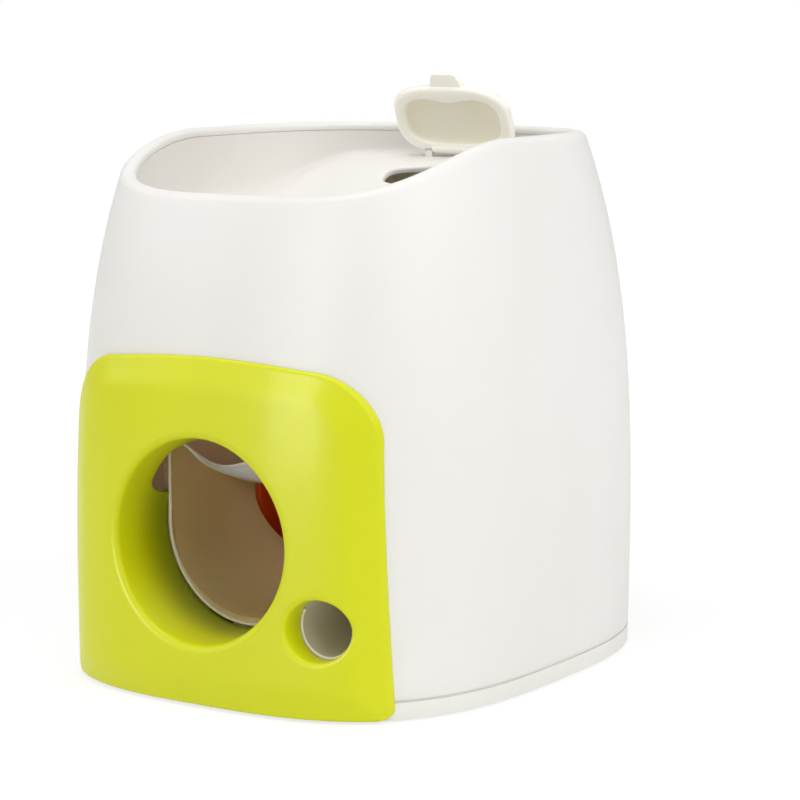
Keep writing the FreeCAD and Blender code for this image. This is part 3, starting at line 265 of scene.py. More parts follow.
cut(shell, [round_bar("way_out", *[(x, depth, z) for depth in WAY_DEPTHS], radius, "y")
            for (x, z, _), radius in zip((BALL_HOLE, TREAT_HOLE), WAY_RADII)])


class Flow:
    """A shader socket that takes part in sums as a number does."""

    def __init__(self, graph, socket):
        self.graph, self.socket = graph, socket

    def sum_with(self, operation, first, second):
        return self.graph.node("ShaderNodeMath", {"operation": operation}, {0: first, 1: second})

    def __add__(self, other):
        return self.sum_with("ADD", self, other)

    def __radd__(self, other):
        return self.sum_with("ADD", other, self)

    def __sub__(self, other):
        return self.sum_with("SUBTRACT", self, other)

    def __rsub__(self, other):
        return self.sum_with("SUBTRACT", other, self)

    def __mul__(self, other):
        return self.sum_with("MULTIPLY", self, other)

    def __rmul__(self, other):
        return self.sum_with("MULTIPLY", other, self)


class Graph:
    """A node tree under construction."""

    def node(self, kind, settings, sockets, output=0):
        """Adds one node: settings first, then a value, a link or several links for each socket."""
        made = self.tree.nodes.new(kind)
        for key, value in settings.items():
            setattr(made, key, value)
        for key, value in sockets.items():
            socket = made.inputs[key]
            if isinstance(value, Flow):
                self.tree.links.new(value.socket, socket)
            elif isinstance(value, list):
                for flow in value:
                    self.tree.links.new(flow.socket, socket)
            else:
                socket.default_value = value
        return Flow(self, made.outputs[output]) if len(made.outputs) else None


BUMP_DISTANCE = 0.0002
PLASTIC_BUMP = 0.35
PLASTIC_IOR = 1.49
WELL_SOFTNESS = 0.0009


class Finish(Graph):
    """A material under construction."""

    def __init__(self, name):
        self.material = bpy.data.materials.new(name)
        self.material.use_nodes = True
        self.tree = self.material.node_tree
        self.tree.nodes.clear()
        self.place = self.node("ShaderNodeTexCoord", {}, {}, "Object")

    def noise(self, scale, detail=2.0, stretch=None):
        """Noise from 0 to 1 at a scale in cells per metre."""
        place = self.place
        if stretch:
            place = self.node("ShaderNodeMapping", {}, {"Vector": place, "Scale": stretch})
        return self.node("ShaderNodeTexNoise", {},
                         {"Vector": place, "Scale": scale, "Detail": detail})

    def step(self, value, low, high):
        """Smooth 0 to 1 as a value goes from low to high."""
        return self.node("ShaderNodeMapRange", {"interpolation_type": "SMOOTHSTEP"},
                         {"Value": value, "From Min": low, "From Max": high})

    def mix(self, share, first, second):
        """Colour between two colours."""
        made = self.tree.nodes.new("ShaderNodeMix")
        made.data_type = "RGBA"
        for index, value in ((0, share), (6, first), (7, second)):
            if isinstance(value, Flow):
                self.tree.links.new(value.socket, made.inputs[index])
            else:
                made.inputs[index].default_value = value
        return Flow(self, made.outputs[2])

    def bump(self, height, strength):
        return self.node("ShaderNodeBump", {},
                         {"Height": height, "Strength": strength, "Distance": BUMP_DISTANCE})

    def close(self, sockets):
        """Adds the surface shader with its sockets and the output."""
        shader = self.node("ShaderNodeBsdfPrincipled", {}, sockets)
        self.node("ShaderNodeOutputMaterial", {}, {"Surface": shader})
        return self.material


def paint(red, green, blue):
    """Linear colour from display values of 0 to 255."""
    def linear(value):
        value = value / 255.0
        return value / 12.92 if value <= 0.04045 else ((value + 0.055) / 1.055) ** 2.4
    return (linear(red), linear(green), linear(blue), 1.0)


def plastic(name, colour, shade, roughness, grain, specular=0.5, coat=0.0, coat_roughness=0.08,
            wave_depth=0.0, painted_well_shade=None):
    """Injection moulded plastic: slight flow marks in colour, fine eroded grain, faint rubbing.

    A painted shade, when given, darkens the colour down a round well to stand in for the shade
    inside it: its middle height and radius, the two depths between which it comes in, and the
    colour.
    """
    finish = Finish(name)
    flow = finish.noise(14.0, 3.0, (1.0, 1.0, 0.45))
    handling = finish.step(finish.noise(60.0, 4.0), 0.45, 0.75)
    fine = finish.noise(2600.0, 2.0)
    waves = finish.noise(90.0, 1.0)
    tint = finish.mix(finish.step(flow, 0.35, 0.7) * 0.55, paint(*colour), paint(*shade))
    # Painted shade: the colour darkens down a round well, deeper in.
    if painted_well_shade:
        middle, radius, mouth, end, well = painted_well_shade
        flat = finish.node("ShaderNodeMapping", {}, {
            "Vector": finish.place, "Location": (0.0, 0.0, -middle), "Scale": (1.0, 0.0, 1.0)})
        away = finish.node("ShaderNodeVectorMath", {"operation": "LENGTH"}, {0: flat}, 1)
        depth = finish.node("ShaderNodeSeparateXYZ", {}, {0: finish.place}, 1)
        outside = finish.step(away, radius, radius + WELL_SOFTNESS)
        share = finish.step(depth, mouth, end) * (1.0 - outside)
        tint = finish.mix(share, tint, paint(*well))
    rough = roughness + handling * 0.05 + fine * 0.03
    relief = fine * grain + waves * wave_depth
    return finish.close({
        "Base Color": tint,
        "Roughness": rough,
        "Normal": finish.bump(relief, PLASTIC_BUMP),
        "IOR": PLASTIC_IOR,
        "Specular IOR Level": specular,
        "Coat Weight": coat,
        "Coat Roughness": coat_roughness,
    })


def coat_all(piece, material):
    """Gives a whole piece one material."""
    piece.data.materials.clear()
    piece.data.materials.append(material)


def coat_nodes(material, *names):
    """Gives whole solids of the frame one material."""
    for name in names:
        coat_all(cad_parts[name], material)


white_abs = plastic("off_white_abs", (235, 234, 231), (229, 228, 224), 0.4, 0.5, specular=0.25)
coat_all(shell, white_abs)
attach(shell, "housing")
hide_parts("housing_shell")


# ---------- ball hopper
# The bowl is a separate, slightly warmer ABS insert that drops into the shell.
# Its sides run down to a round throat, and a sloping shelf at the back carries
# the treat opening, a long oval hole with a rounded edge that the lid covers.
THROAT_RADIUS = 35.5
THROAT_ROUND = 1.0
THROAT_Y = -25.0
THROAT_Z = 142.0
TUBE_BOTTOM = 100.0
TUBE_ROWS = 30
FUNNEL_TOP = 172.0
FUNNEL_EASE = 0.75
THROAT_BLEND = 8.0
SHELF_BLEND = 7.0
GROWTH_DROP = 0.6
BOWL_GAP = 0.05
BOWL_ROWS = 120
BOWL_SOFTENING = 12
SHELF_BREAK = (66.0, 185.5)
SHELF_FALL = math.tan(math.radians(29.0))
HINGE = np.array([0.0, 68.5, 188.2])
LID_LEAN = math.radians(24.0)
LID_SHUT = math.radians(95.0)
LID_HALF = (26.8, 15.05)
LID_SQUARENESS = 3.05
LID_LOW_EDGE = 2.8
OPENING_HALF = (25.0, 6.4)
OPENING_MIDDLE = 18.6
OPENING_DEPTHS = (-9.0, 12.0)
OPENING_ROUND = 1.2
REAR_DIP = -1.8
DIP_WIDTH = 9.0
LID_AROUND = 160
SHELF_DEPTH = 1.15
BOWL_WALL = 2.4
BOWL_POST = (64.0, 42.0)
BOWL_POST_FOOT = 144.0
BOWL_POST_TOP = 161.0
BACK_POST_RISE = 3.0
BIN_EARS = ((-36.5, 51.4), (12.0, 72.3))
BIN_EAR_FOOT = 160.0
BIN_EAR_TOPS = (174.5, 184.0)
POST_RADIUS = 4.5
EAR_ENDS = (12.3, 15.3)
EAR_HALF_DEPTH = 0.9
EAR_FOOT = 184.5
EAR_TOP = 189.4
EAR_CHAMFER = 0.25


def soft_max(first, second, width):
    """The greater of two heights, with a soft blend where they meet."""
    share = np.clip(0.5 + 0.5 * (first - second) / width, 0.0, 1.0)
    return second + (first - second) * share + width * share * (1.0 - share)


def shelf_height(y):
    """Height of the rear shelf: a slope that rounds over to a level land at the back."""
    forward = SHELF_BREAK[0] - y
    forward = 0.5 * (forward + np.sqrt(forward ** 2 + 9.0))
    return SHELF_BREAK[1] - forward * SHELF_FALL


def within_wall(points, inset):
    """Pulls points that lie beyond the wall back onto it, at their own height."""
    half_width, half_depth, squareness = body_section(points[:, 2])
    pull = reach_to(points[:, 0], points[:, 1], half_width - inset, half_depth - inset, squareness)
    pull = np.minimum(pull, 1.0)
    return np.stack([points[:, 0] * pull, points[:, 1] * pull, points[:, 2]], -1)


def even_rows(rows, count, softening):
    """Spaces rows evenly along each column's length and rounds their creases."""
    columns = np.stack(rows, 1)
    steps = np.linalg.norm(np.diff(columns, axis=1), axis=2)
    walked = np.concatenate([np.zeros((len(columns), 1)), np.cumsum(steps, axis=1)], axis=1)
    even = np.empty((len(columns), count, 3))
    for i, column in enumerate(columns):
        stations = np.linspace(0.0, walked[i, -1], count)
        for axis in range(3):
            even[i, :, axis] = np.interp(stations, walked[i], column[:, axis])
    for _ in range(softening):
        even[:, 1:-1] = 0.25 * even[:, :-2] + 0.5 * even[:, 1:-1] + 0.25 * even[:, 2:]
    return [even[:, i] for i in range(count)]


def bowl_rows(grow):
    """Rows of the hopper's skin from the tube's lower end to the lip, grown outwards."""
    low = THROAT_RADIUS + THROAT_ROUND
    edge = oval(low, low, 2.0, THROAT_Y, THROAT_Z)
    edge_height = soft_max(np.full(AROUND, THROAT_Z), shelf_height(edge[:, 1]), THROAT_BLEND)
    found = []
    for share in np.linspace(0.0, 1.0, TUBE_ROWS):
        height = TUBE_BOTTOM + (edge_height - 3.0 - TUBE_BOTTOM) * share
        radius = THROAT_RADIUS + grow
        tube = oval(radius, radius, 2.0, THROAT_Y, 0.0)
        tube[:, 2] = height
        found.append(tube)
    for share in np.linspace(0.003, 1.0, 60) ** 1.3:
        z = THROAT_Z + (FUNNEL_TOP - THROAT_Z) * share - GROWTH_DROP * grow
        half_width, half_depth, squareness = body_section(z)
        ease = share ** FUNNEL_EASE
        ring = oval(low + (half_width - BOWL_INSET - low) * ease + grow,
                    low + (half_depth - BOWL_INSET - low) * ease + grow,
                    2.0 + (squareness - 2.0) * ease, THROAT_Y * (1.0 - ease), z)
        found.append(ring)
    for share in np.linspace(0.0, 1.0, 30)[1:]:
        base = FUNNEL_TOP - GROWTH_DROP * grow
        height = base + (lip_start - LIP_DROP - BOWL_GAP - base) * share
        found.append(wall_points(height, BOWL_INSET - grow))
    for i, ring in enumerate(found[TUBE_ROWS:], TUBE_ROWS):
        for _ in range(3):
            lifted = soft_max(ring[:, 2], shelf_height(ring[:, 1]) - grow, SHELF_BLEND)
            moved = within_wall(np.stack([ring[:, 0], ring[:, 1], lifted], -1), BOWL_INSET - grow)
            raised = (lifted > ring[:, 2] + 0.001)[:, None]
            ring = np.where(raised, np.stack([moved[:, 0], moved[:, 1], ring[:, 2]], -1), ring)
        ring[:, 2] = soft_max(ring[:, 2], shelf_height(ring[:, 1]) - grow, SHELF_BLEND)
        found[i] = ring
    return even_rows(found, BOWL_ROWS, BOWL_SOFTENING)


bowl = loft("ball_hopper_bowl", bowl_rows(0.0) + bowl_rows(BOWL_WALL)[::-1], closed_tube=True)


def bean(half, middle, offset, depth, dip):
    """Squarish oval in lid axes with one long side dipped: across, forwards, height."""
    angles = full_turn(LID_AROUND) + math.pi / 4.0
    half_x, half_z = half[0] + offset, half[1] + offset
    across, rise = np.cos(angles), np.sin(angles)
    reach = reach_to(across, rise, half_x, half_z, LID_SQUARENESS)
    x, z = reach * across, reach * rise
    z = z - dip * np.clip(z / half_z, -1.0, 1.0) * np.exp(-(x / DIP_WIDTH) ** 2) * (z * dip > 0.0)
    return np.stack([x, -depth + 0.0 * x, middle + z], -1)


def lid_outline(offset, depth, dip):
    """The lid's outline in lid axes, grown by an offset."""
    return bean(LID_HALF, LID_HALF[1] - LID_LOW_EDGE, offset, depth, dip)


def about_hinge(points, angle):
    """Turns points drawn in lid axes about the hinge pin and puts them in place."""
    points = np.asarray(points, float)
    y = points[:, 1] * math.cos(angle) - points[:, 2] * math.sin(angle)
    z = points[:, 1] * math.sin(angle) + points[:, 2] * math.cos(angle)
    return np.stack([points[:, 0], y, z], -1) + HINGE


opening_steps = [(OPENING_ROUND, OPENING_DEPTHS[0])]
for turn in np.radians([0.0, 18.0, 36.0, 54.0, 72.0, 90.0]):
    opening_steps.append((OPENING_ROUND * (1.0 - math.sin(turn)),
                          SHELF_DEPTH + OPENING_ROUND * (1.0 - math.cos(turn))))
opening_steps.append((0.0, OPENING_DEPTHS[1]))
cut(bowl, [loft("treat_way_in", [
    about_hinge(bean(OPENING_HALF, OPENING_MIDDLE, offset, depth, REAR_DIP), LID_LEAN + LID_SHUT)
    for offset, depth in opening_steps])])


def join_to(piece, parts):
    """Adds the meshes of other pieces to a piece and deletes them."""
    merged = bmesh.new()
    merged.from_mesh(piece.data)
    for part in parts:
        merged.from_mesh(part.data)
        bpy.data.objects.remove(part)
    merged.to_mesh(piece.data)
    merged.free()


def hinge_ear(x0, x1):
    """Upright ear with a round top, between two x stations."""
    outline = [(-EAR_HALF_DEPTH, EAR_FOOT), (EAR_HALF_DEPTH, EAR_FOOT)]
    for turn in np.radians(np.arange(0.0, 181.0, 15.0)):
        outline.append((EAR_HALF_DEPTH * math.cos(turn),
                        EAR_TOP - EAR_HALF_DEPTH + EAR_HALF_DEPTH * math.sin(turn)))
    outline = np.array(outline)
    centre = outline.mean(0)
    rows = []
    for x, shrink in ((x0, 0.9), (x0 + EAR_CHAMFER, 1.0), (x1 - EAR_CHAMFER, 1.0), (x1, 0.9)):
        pulled = centre + (outline - centre) * shrink
        rows.append([(x, HINGE[1] + y, z) for y, z in pulled])
    return loft("hinge_ear", rows)


ears = [hinge_ear(*EAR_ENDS), hinge_ear(-EAR_ENDS[1], -EAR_ENDS[0])]
posts = [(sx * BOWL_POST[0], sy * BOWL_POST[1], BOWL_POST_FOOT, BOWL_POST_TOP + sy * BACK_POST_RISE)
         for sx in (-1, 1) for sy in (-1, 1)]
posts += [(*place, BIN_EAR_FOOT, high) for place, high in zip(BIN_EARS, BIN_EAR_TOPS)]
join_to(bowl, ears + [round_bar("post", (x, y, low), (x, y, high), POST_RADIUS, "z")
                      for x, y, low, high in posts])
soften(bowl.data)
bowl_abs = plastic("warm_white_abs", (235, 233, 229), (230, 228, 223), 0.42, 0.7, specular=0.3)
coat_all(bowl, bowl_abs)
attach(bowl, "housing")
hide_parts("hopper_bowl")


# ---------- treat lid
# A small cream lid on a steel pin. Its underside, which faces the front while
# it stands open, has one broad soft rim around a shallow dish whose edge dips
# in the middle; a finger tab stands on its free edge.
FACE = 0.85
LID_BACK = -4.0
BACK_ROUND = 3.2
RIM_ROUND = 2.3
RIM = 4.0
DISH_ROUND = 0.9
DISH_DIP = 2.3
DISH_FLOOR = ((-RIM - 1.0, 1.4, DISH_DIP), (-RIM - 1.3, 2.3, DISH_DIP), (-RIM - 2.0, 2.8, DISH_DIP),
              (-8.0, 3.0, 1.8), (-10.0, 3.1, 0.8), (-11.8, 3.1, 0.0))
DISH_DEPTHS = (1.2, 4.0)
TAB_HEIGHTS = (24.0, 32.5)
TAB_HALVES = (8.3, 6.1)
TAB_ROUNDS = (0.3, 2.4)
TAB_STEPS = ((0.6, -2.9), (0.15, -2.7), (0.0, -2.3), (0.0, -0.8), (0.2, -0.4), (0.7, -0.2))
BARREL_HALF = 12.0
BARREL_RADIUS = 1.6
BARREL_EDGE = 0.4
LID_CREASE = 50.0
lid_steps = [(offset, LID_BACK, 0.0) for offset in (-11.6, -8.0, -3.0)]
for turn in np.radians([0.0, 22.5, 45.0, 67.5, 90.0]):
    lid_steps.append((BACK_ROUND * (math.sin(turn) - 1.0),
                      LID_BACK + BACK_ROUND * (1.0 - math.cos(turn)), 0.0))
for turn in np.radians([0.0, 15.0, 30.0, 45.0, 60.0, 75.0, 90.0]):
    lid_steps.append((RIM_ROUND * (math.cos(turn) - 1.0),
                      FACE - RIM_ROUND * (1.0 - math.sin(turn)), 0.0))
for turn in np.radians([0.0, 22.5, 45.0, 67.5]):
    lid_steps.append((-RIM - DISH_ROUND * math.sin(turn),
                      FACE - DISH_ROUND * (1.0 - math.cos(turn)), DISH_DIP))
lid_steps += [(offset, FACE - sink, dip) for offset, sink, dip in DISH_FLOOR]
lid = loft("treat_lid_leaf", [about_hinge(lid_outline(offset, depth, dip), LID_LEAN)
                              for offset, depth, dip in lid_steps], crease=LID_CREASE)


def tab_outline(inset):
    """Rounded trapezium of the finger tab in lid axes, as x and height."""
    low, high = TAB_HEIGHTS
    wide, narrow = TAB_HALVES
    points = []
    corners = [(wide, low, TAB_ROUNDS[0]), (narrow, high, TAB_ROUNDS[1]),
               (-narrow, high, TAB_ROUNDS[1]), (-wide, low, TAB_ROUNDS[0])]
    centres = [(x - math.copysign(r, x), z - r if z == high else z + r, r) for x, z, r in corners]
    spans = [(-90, -5), (12, 90), (90, 168), (185, 270)]
    for (x, z, r), (start, end) in zip(centres, spans):
        for turn in np.radians(np.linspace(start, end, 8)):
            points.append((x + (r - inset) * math.cos(turn), z + (r - inset) * math.sin(turn)))
    return points


tab = loft("tab", [about_hinge([(x, -depth, z) for x, z in tab_outline(inset)], LID_LEAN)
                   for inset, depth in TAB_STEPS])
barrel = round_bar("barrel", HINGE - (BARREL_HALF, 0, 0), HINGE + (BARREL_HALF, 0, 0),
                   BARREL_RADIUS, "x", BARREL_EDGE)
join_to(lid, [tab, barrel])
soften(lid.data, LID_CREASE)
cream = plastic("cream_plastic", (254, 253, 243), (250, 248, 236), 0.4, 0.6)
coat_all(lid, cream)
# The dish gets a darker cream, a painted shade for its hollow; it is also a little rougher.
dish_painted_shade = plastic("dish_painted_shade", (243, 239, 219), (237, 232, 209), 0.5, 0.8)
lid.data.materials.append(dish_painted_shade)
# Faces sunk into the dish, inside the rim, take the painted shade.
for face in lid.data.polygons:
    x, y, z = face.center / MM - Vector(HINGE) - Vector((0.0, FRONT_SHIFT, 0.0))
    depth = -y * math.cos(LID_LEAN) - z * math.sin(LID_LEAN)
    height = z * math.cos(LID_LEAN) - y * math.sin(LID_LEAN)
    middle = height - LID_HALF[1] + LID_LOW_EDGE
    sunk = FACE - DISH_DEPTHS[1] < depth < FACE - DISH_DEPTHS[0]
    if sunk and abs(x) < LID_HALF[0] - RIM and abs(middle) < LID_HALF[1] - RIM:
        face.material_index = 1
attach(lid, "lid")
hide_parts("treat_lid")


# ---------- front panel
# The glossy lime panel is bent to the body's front and stands a few millimetres
# proud of it. It is a little fuller inside a soft border, and its two holes
# roll inwards into sleeves. Pegs at its back take screws from inside the shell.
PANEL_PROUD = 3.6
PANEL_GAP = 0.3
BORDER = 12.0
BORDER_DROP = 2.0
EDGE_ROUND = 1.4
PANEL_CREASE = 50.0
SHEET_SPACING = (1.8, 4.0)
WEB_HALF_WIDTH = 72.0
WEB_HEIGHT = 126.0
BALL_LIP = 3.0
BALL_SLEEVE_WALL = 2.0
BALL_SLEEVE_END = -73.6
TREAT_LIP = 1.7
TREAT_SLEEVE_WALL = 1.6
TREAT_COUNT = 96
SLEEVE_ROUND = 0.4
PEGS = [(x * 60.0, 18.0) for x in (-1, 1)] + [(x * 48.0, 106.0) for x in (-1, 1)]
PEG_BACK = -82.0
PEG_RADIUS = 3.5
# Painted shade inside the ball sleeve: its middle height and radius, the depths over which the lime
# darkens towards the back, and the dark colour.
SLEEVE_SHADE = (0.0593, 0.0374, -0.094, -0.073, (150, 158, 2))
TREAT_SLEEVE_END = -94.0
NOTCH_MIDDLE = 142.0
NOTCH_FLAT = 10.0
NOTCH_CORNER = 12.0
NOTCH_DEPTH = 13.5
BALL_COUNT = 320


def front_surface(x, z, proud):
    """Depth of the body's front surface, moved outwards."""
    half_width, half_depth, squareness = body_section(z)
    share = np.clip(np.abs(x) / (half_width + proud), 0.0, 0.9999)
    return -(half_depth + proud) * (1.0 - share ** squareness) ** (1.0 / squareness)


def arc(start, middle, end, spacing):
    """Points along the arc through three points, without its last."""
    (ax, ay), (bx, by), (cx, cy) = start, middle, end
    d = 2.0 * (ax * (by - cy) + bx * (cy - ay) + cx * (ay - by))
    a, b, c = ax ** 2 + ay ** 2, bx ** 2 + by ** 2, cx ** 2 + cy ** 2
    ux = (a * (by - cy) + b * (cy - ay) + c * (ay - by)) / d
    uy = (a * (cx - bx) + b * (ax - cx) + c * (bx - ax)) / d
    radius = math.hypot(ax - ux, ay - uy)
    first, last = math.atan2(ay - uy, ax - ux), math.atan2(cy - uy, cx - ux)
    sweep = (last - first + math.pi) % (2.0 * math.pi) - math.pi
    count = max(3, int(radius * abs(sweep) / spacing))
    steps = [first + sweep * i / count for i in range(count)]
    return [(ux + radius * math.cos(turn), uy + radius * math.sin(turn)) for turn in steps]


def straight(start, end, spacing):
    """Points along a line, without its last."""
    start, end = np.array(start), np.array(end)
    count = max(1, int(np.linalg.norm(end - start) / spacing))
    return [tuple(start + (end - start) * i / count) for i in range(count)]


def panel_outline():
    """Outline of the panel from below its left foot round to the right and over the top."""
    low, foot, half_low, half_high, shoulder = 0.9, 4.0, 69.0, 66.0, 96.0
    corner = (42.0, 121.5)
    inset = foot * (1.0 - math.sqrt(0.5))
    bulge = math.sqrt(0.5) - 0.5
    mid = ((half_high + corner[0]) / 2.0 + bulge * (half_high - corner[0]),
           (shoulder + corner[1]) / 2.0 + bulge * (corner[1] - shoulder))
    points = straight((foot - half_low, low), (half_low - foot, low), 1.5)
    points += arc((half_low - foot, low), (half_low - inset, low + inset),
                  (half_low, low + foot), 0.6)
    points += straight((half_low, low + foot), (half_high, shoulder), 1.5)
    points += arc((half_high, shoulder), mid, corner, 1.2)
    points += arc(corner, (0.0, 124.0), (-corner[0], corner[1]), 1.5)
    points += arc((-corner[0], corner[1]), (-mid[0], mid[1]), (-half_high, shoulder), 1.2)
    points += straight((-half_high, shoulder), (-half_low, low + foot), 1.5)
    points += arc((-half_low, low + foot), (inset - half_low, low + inset),
                  (foot - half_low, low), 0.6)
    return np.array(points)


def inward_normals(loop):
    """Unit normals of an anticlockwise loop, towards its inside."""
    along = np.roll(loop, -1, 0) - np.roll(loop, 1, 0)
    along /= np.linalg.norm(along, axis=1)[:, None]
    return np.stack([-along[:, 1], along[:, 0]], -1)


def distance_to(points, loop):
    """Distance from points to a closed loop of straight pieces."""
    nearest = np.full(len(points), 1e9)
    for a, d in zip(loop, np.roll(loop, -1, 0) - loop):
        share = np.clip(((points - a) @ d) / (d @ d), 0.0, 1.0)
        nearest = np.minimum(nearest, np.linalg.norm(points - a - share[:, None] * d, axis=1))
    return nearest


outline = panel_outline()
outline_in = inward_normals(outline)


def panel_face(flat, proud):
    """Depth of the panel's face over flat points: fuller inside its soft border."""
    near = distance_to(flat, outline)
    share = np.clip(near / BORDER, 0.0, 1.0)
    sunk = BORDER_DROP * (1.0 - share ** 2 * (3.0 - 2.0 * share)) if proud > PANEL_GAP else 0.0
    return front_surface(flat[:, 0], flat[:, 1], proud) + sunk


def hole_loop(hole, radius, count):
    angles = full_turn(count)
    return np.stack([hole[0] + radius * np.cos(angles), hole[1] + radius * np.sin(angles)], -1)


def flat_web(loops, spacing, keep):
    """Triangles over loops and a field of points; keep says which flat points belong."""
    points = [tuple(p) for loop in loops for p in loop]
    edges = []
    start = 0
    for loop in loops:
        edges += [(start + i, start + (i + 1) % len(loop)) for i in range(len(loop))]
        start += len(loop)
    xs = np.arange(-WEB_HALF_WIDTH, WEB_HALF_WIDTH, spacing)
    zs = np.arange(0.0, WEB_HEIGHT, spacing * 0.866)
    field = np.array([(x + (k % 2) * spacing / 2.0, z) for k, z in enumerate(zs) for x in xs])
    field = field[keep(field, spacing * 0.6)]
    points += [tuple(p) for p in field]
    result = geometry.delaunay_2d_cdt([Vector(p) for p in points], edges, [], 0, 0.0001)
    found = np.array([(v.x, v.y) for v in result[0]])
    triangles = [t for t in result[2] if keep(found[list(t)].mean(0)[None], 0.0)[0]]
    return found, triangles


def inside_outline(points, loop):
    """True for flat points inside a closed loop."""
    x, y = points[:, 0], points[:, 1]
    odd = np.zeros(len(points), bool)
    for (ax, ay), (bx, by) in zip(loop, np.roll(loop, -1, 0)):
        if ay == by:
            continue
        odd ^= ((ay > y) != (by > y)) & (x < (bx - ax) * (y - ay) / (by - ay) + ax)
    return odd


def panel_sheet(mesh, edge_inset, ball_radius, treat_radius, proud, spacing, flip):
    """One skin of the panel; gives back its three rows of boundary vertices."""
    rim = outline + outline_in * edge_inset
    ball = hole_loop(BALL_HOLE, ball_radius, BALL_COUNT)
    treat = hole_loop(TREAT_HOLE, treat_radius, TREAT_COUNT)

    def keep(points, margin):
        inner = inside_outline(points, rim)
        if margin:
            inner &= distance_to(points, rim) > margin
        for hole, radius in ((BALL_HOLE, ball_radius), (TREAT_HOLE, treat_radius)):
            inner &= np.hypot(points[:, 0] - hole[0], points[:, 1] - hole[1]) > radius + margin
        return inner

    flat, triangles = flat_web([rim, ball, treat], spacing, keep)
    depth = panel_face(flat, proud)
    verts = new_row(mesh, flat, depth)
    for t in triangles:
        try:
            mesh.faces.new([verts[i] for i in (t[::-1] if flip else t)])
        except ValueError:
            pass
    ends = np.cumsum([len(rim), len(ball), len(treat)])
    return verts[:ends[0]], verts[ends[0]:ends[1]], verts[ends[1]:ends[2]]


def new_row(mesh, flat, depth):
    """Vertices over flat points at their depths."""
    return [mesh.verts.new(placed(x, y, z)) for (x, z), y in zip(flat, depth)]


def rolled_hole(mesh, front, back, hole, lip, wall, end, count):
    """Rolls a hole's lip into its sleeve, round the sleeve's end and back along its outside."""
    rows = [front]
    for turn in np.radians(np.arange(12.0, 91.0, 13.0)):
        flat = hole_loop(hole, hole[2] + lip * (1.0 - math.sin(turn)), count)
        start = panel_face(flat, PANEL_PROUD)
        rows.append(new_row(mesh, flat, start + lip * (1.0 - math.cos(turn))))
    flat = hole_loop(hole, hole[2], count)
    start = panel_face(flat, PANEL_PROUD) + lip
    ends = end(full_turn(count))
    for share in np.linspace(0.0, 1.0, 14)[1:]:
        rows.append(new_row(mesh, flat, start + (ends - SLEEVE_ROUND - start) * share))
    for turn in np.radians([45.0, 90.0]):
        ring = hole_loop(hole, hole[2] + SLEEVE_ROUND * (1.0 - math.cos(turn)), count)
        rows.append(new_row(mesh, ring, ends - SLEEVE_ROUND + SLEEVE_ROUND * math.sin(turn)))
    rows.append(new_row(mesh, hole_loop(hole, hole[2] + wall, count), ends))
    bridge(mesh, rows + [back])


def notched_end(angles):
    """Inner end of the ball sleeve, with a round-cornered notch at its upper left."""
    turn = np.degrees(angles) % 360.0
    into_corner = np.clip(np.abs(turn - NOTCH_MIDDLE) - NOTCH_FLAT, 0.0, NOTCH_CORNER)
    return BALL_SLEEVE_END - NOTCH_DEPTH * np.sqrt(1.0 - (into_corner / NOTCH_CORNER) ** 2)


panel_mesh = bmesh.new()
front_rim, front_ball, front_treat = panel_sheet(
    panel_mesh, EDGE_ROUND, BALL_HOLE[2] + BALL_LIP, TREAT_HOLE[2] + TREAT_LIP, PANEL_PROUD,
    SHEET_SPACING[0], False)
back_rim, back_ball, back_treat = panel_sheet(
    panel_mesh, 0.0, BALL_HOLE[2] + BALL_SLEEVE_WALL, TREAT_HOLE[2] + TREAT_SLEEVE_WALL, PANEL_GAP,
    SHEET_SPACING[1], True)
edge_rows = [front_rim]
for turn in np.radians(np.arange(15.0, 91.0, 15.0)):
    flat = outline + outline_in * EDGE_ROUND * (1.0 - math.sin(turn))
    edge_rows.append(new_row(panel_mesh, flat,
                             panel_face(flat, PANEL_PROUD) + EDGE_ROUND * (1.0 - math.cos(turn))))
bridge(panel_mesh, edge_rows + [back_rim])
rolled_hole(panel_mesh, front_ball, back_ball, BALL_HOLE, BALL_LIP, BALL_SLEEVE_WALL, notched_end,
            BALL_COUNT)
rolled_hole(panel_mesh, front_treat, back_treat, TREAT_HOLE, TREAT_LIP, TREAT_SLEEVE_WALL,
            lambda angles: np.full(len(angles), TREAT_SLEEVE_END), TREAT_COUNT)
panel = close_skin("front_panel_cover", panel_mesh, PANEL_CREASE)
join_to(panel, [round_bar("peg", (x, float(front_surface(np.array(x), np.array(z), 1.0)), z),
                          (x, PEG_BACK, z), PEG_RADIUS, "y") for x, z in PEGS])
# The lime darkens inside the ball sleeve as painted shade.
lime = plastic("lime_gloss", (214, 219, 8), (209, 214, 5), 0.4, 0.08, specular=0.28, coat=0.14,
               coat_roughness=0.16, wave_depth=0.4, painted_well_shade=SLEEVE_SHADE)
coat_all(panel, lime)
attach(panel, "housing")
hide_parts("front_panel")


# ---------- base plate
# The floor of the housing, with a low skirt that carries the body's outline to
# just above the ground. Its underside has sunk screw seats and foot pockets.
base_white = plastic("base_abs", (236, 235, 230), (228, 227, 220), 0.38, 0.6)
coat_nodes(base_white, "base_plate")


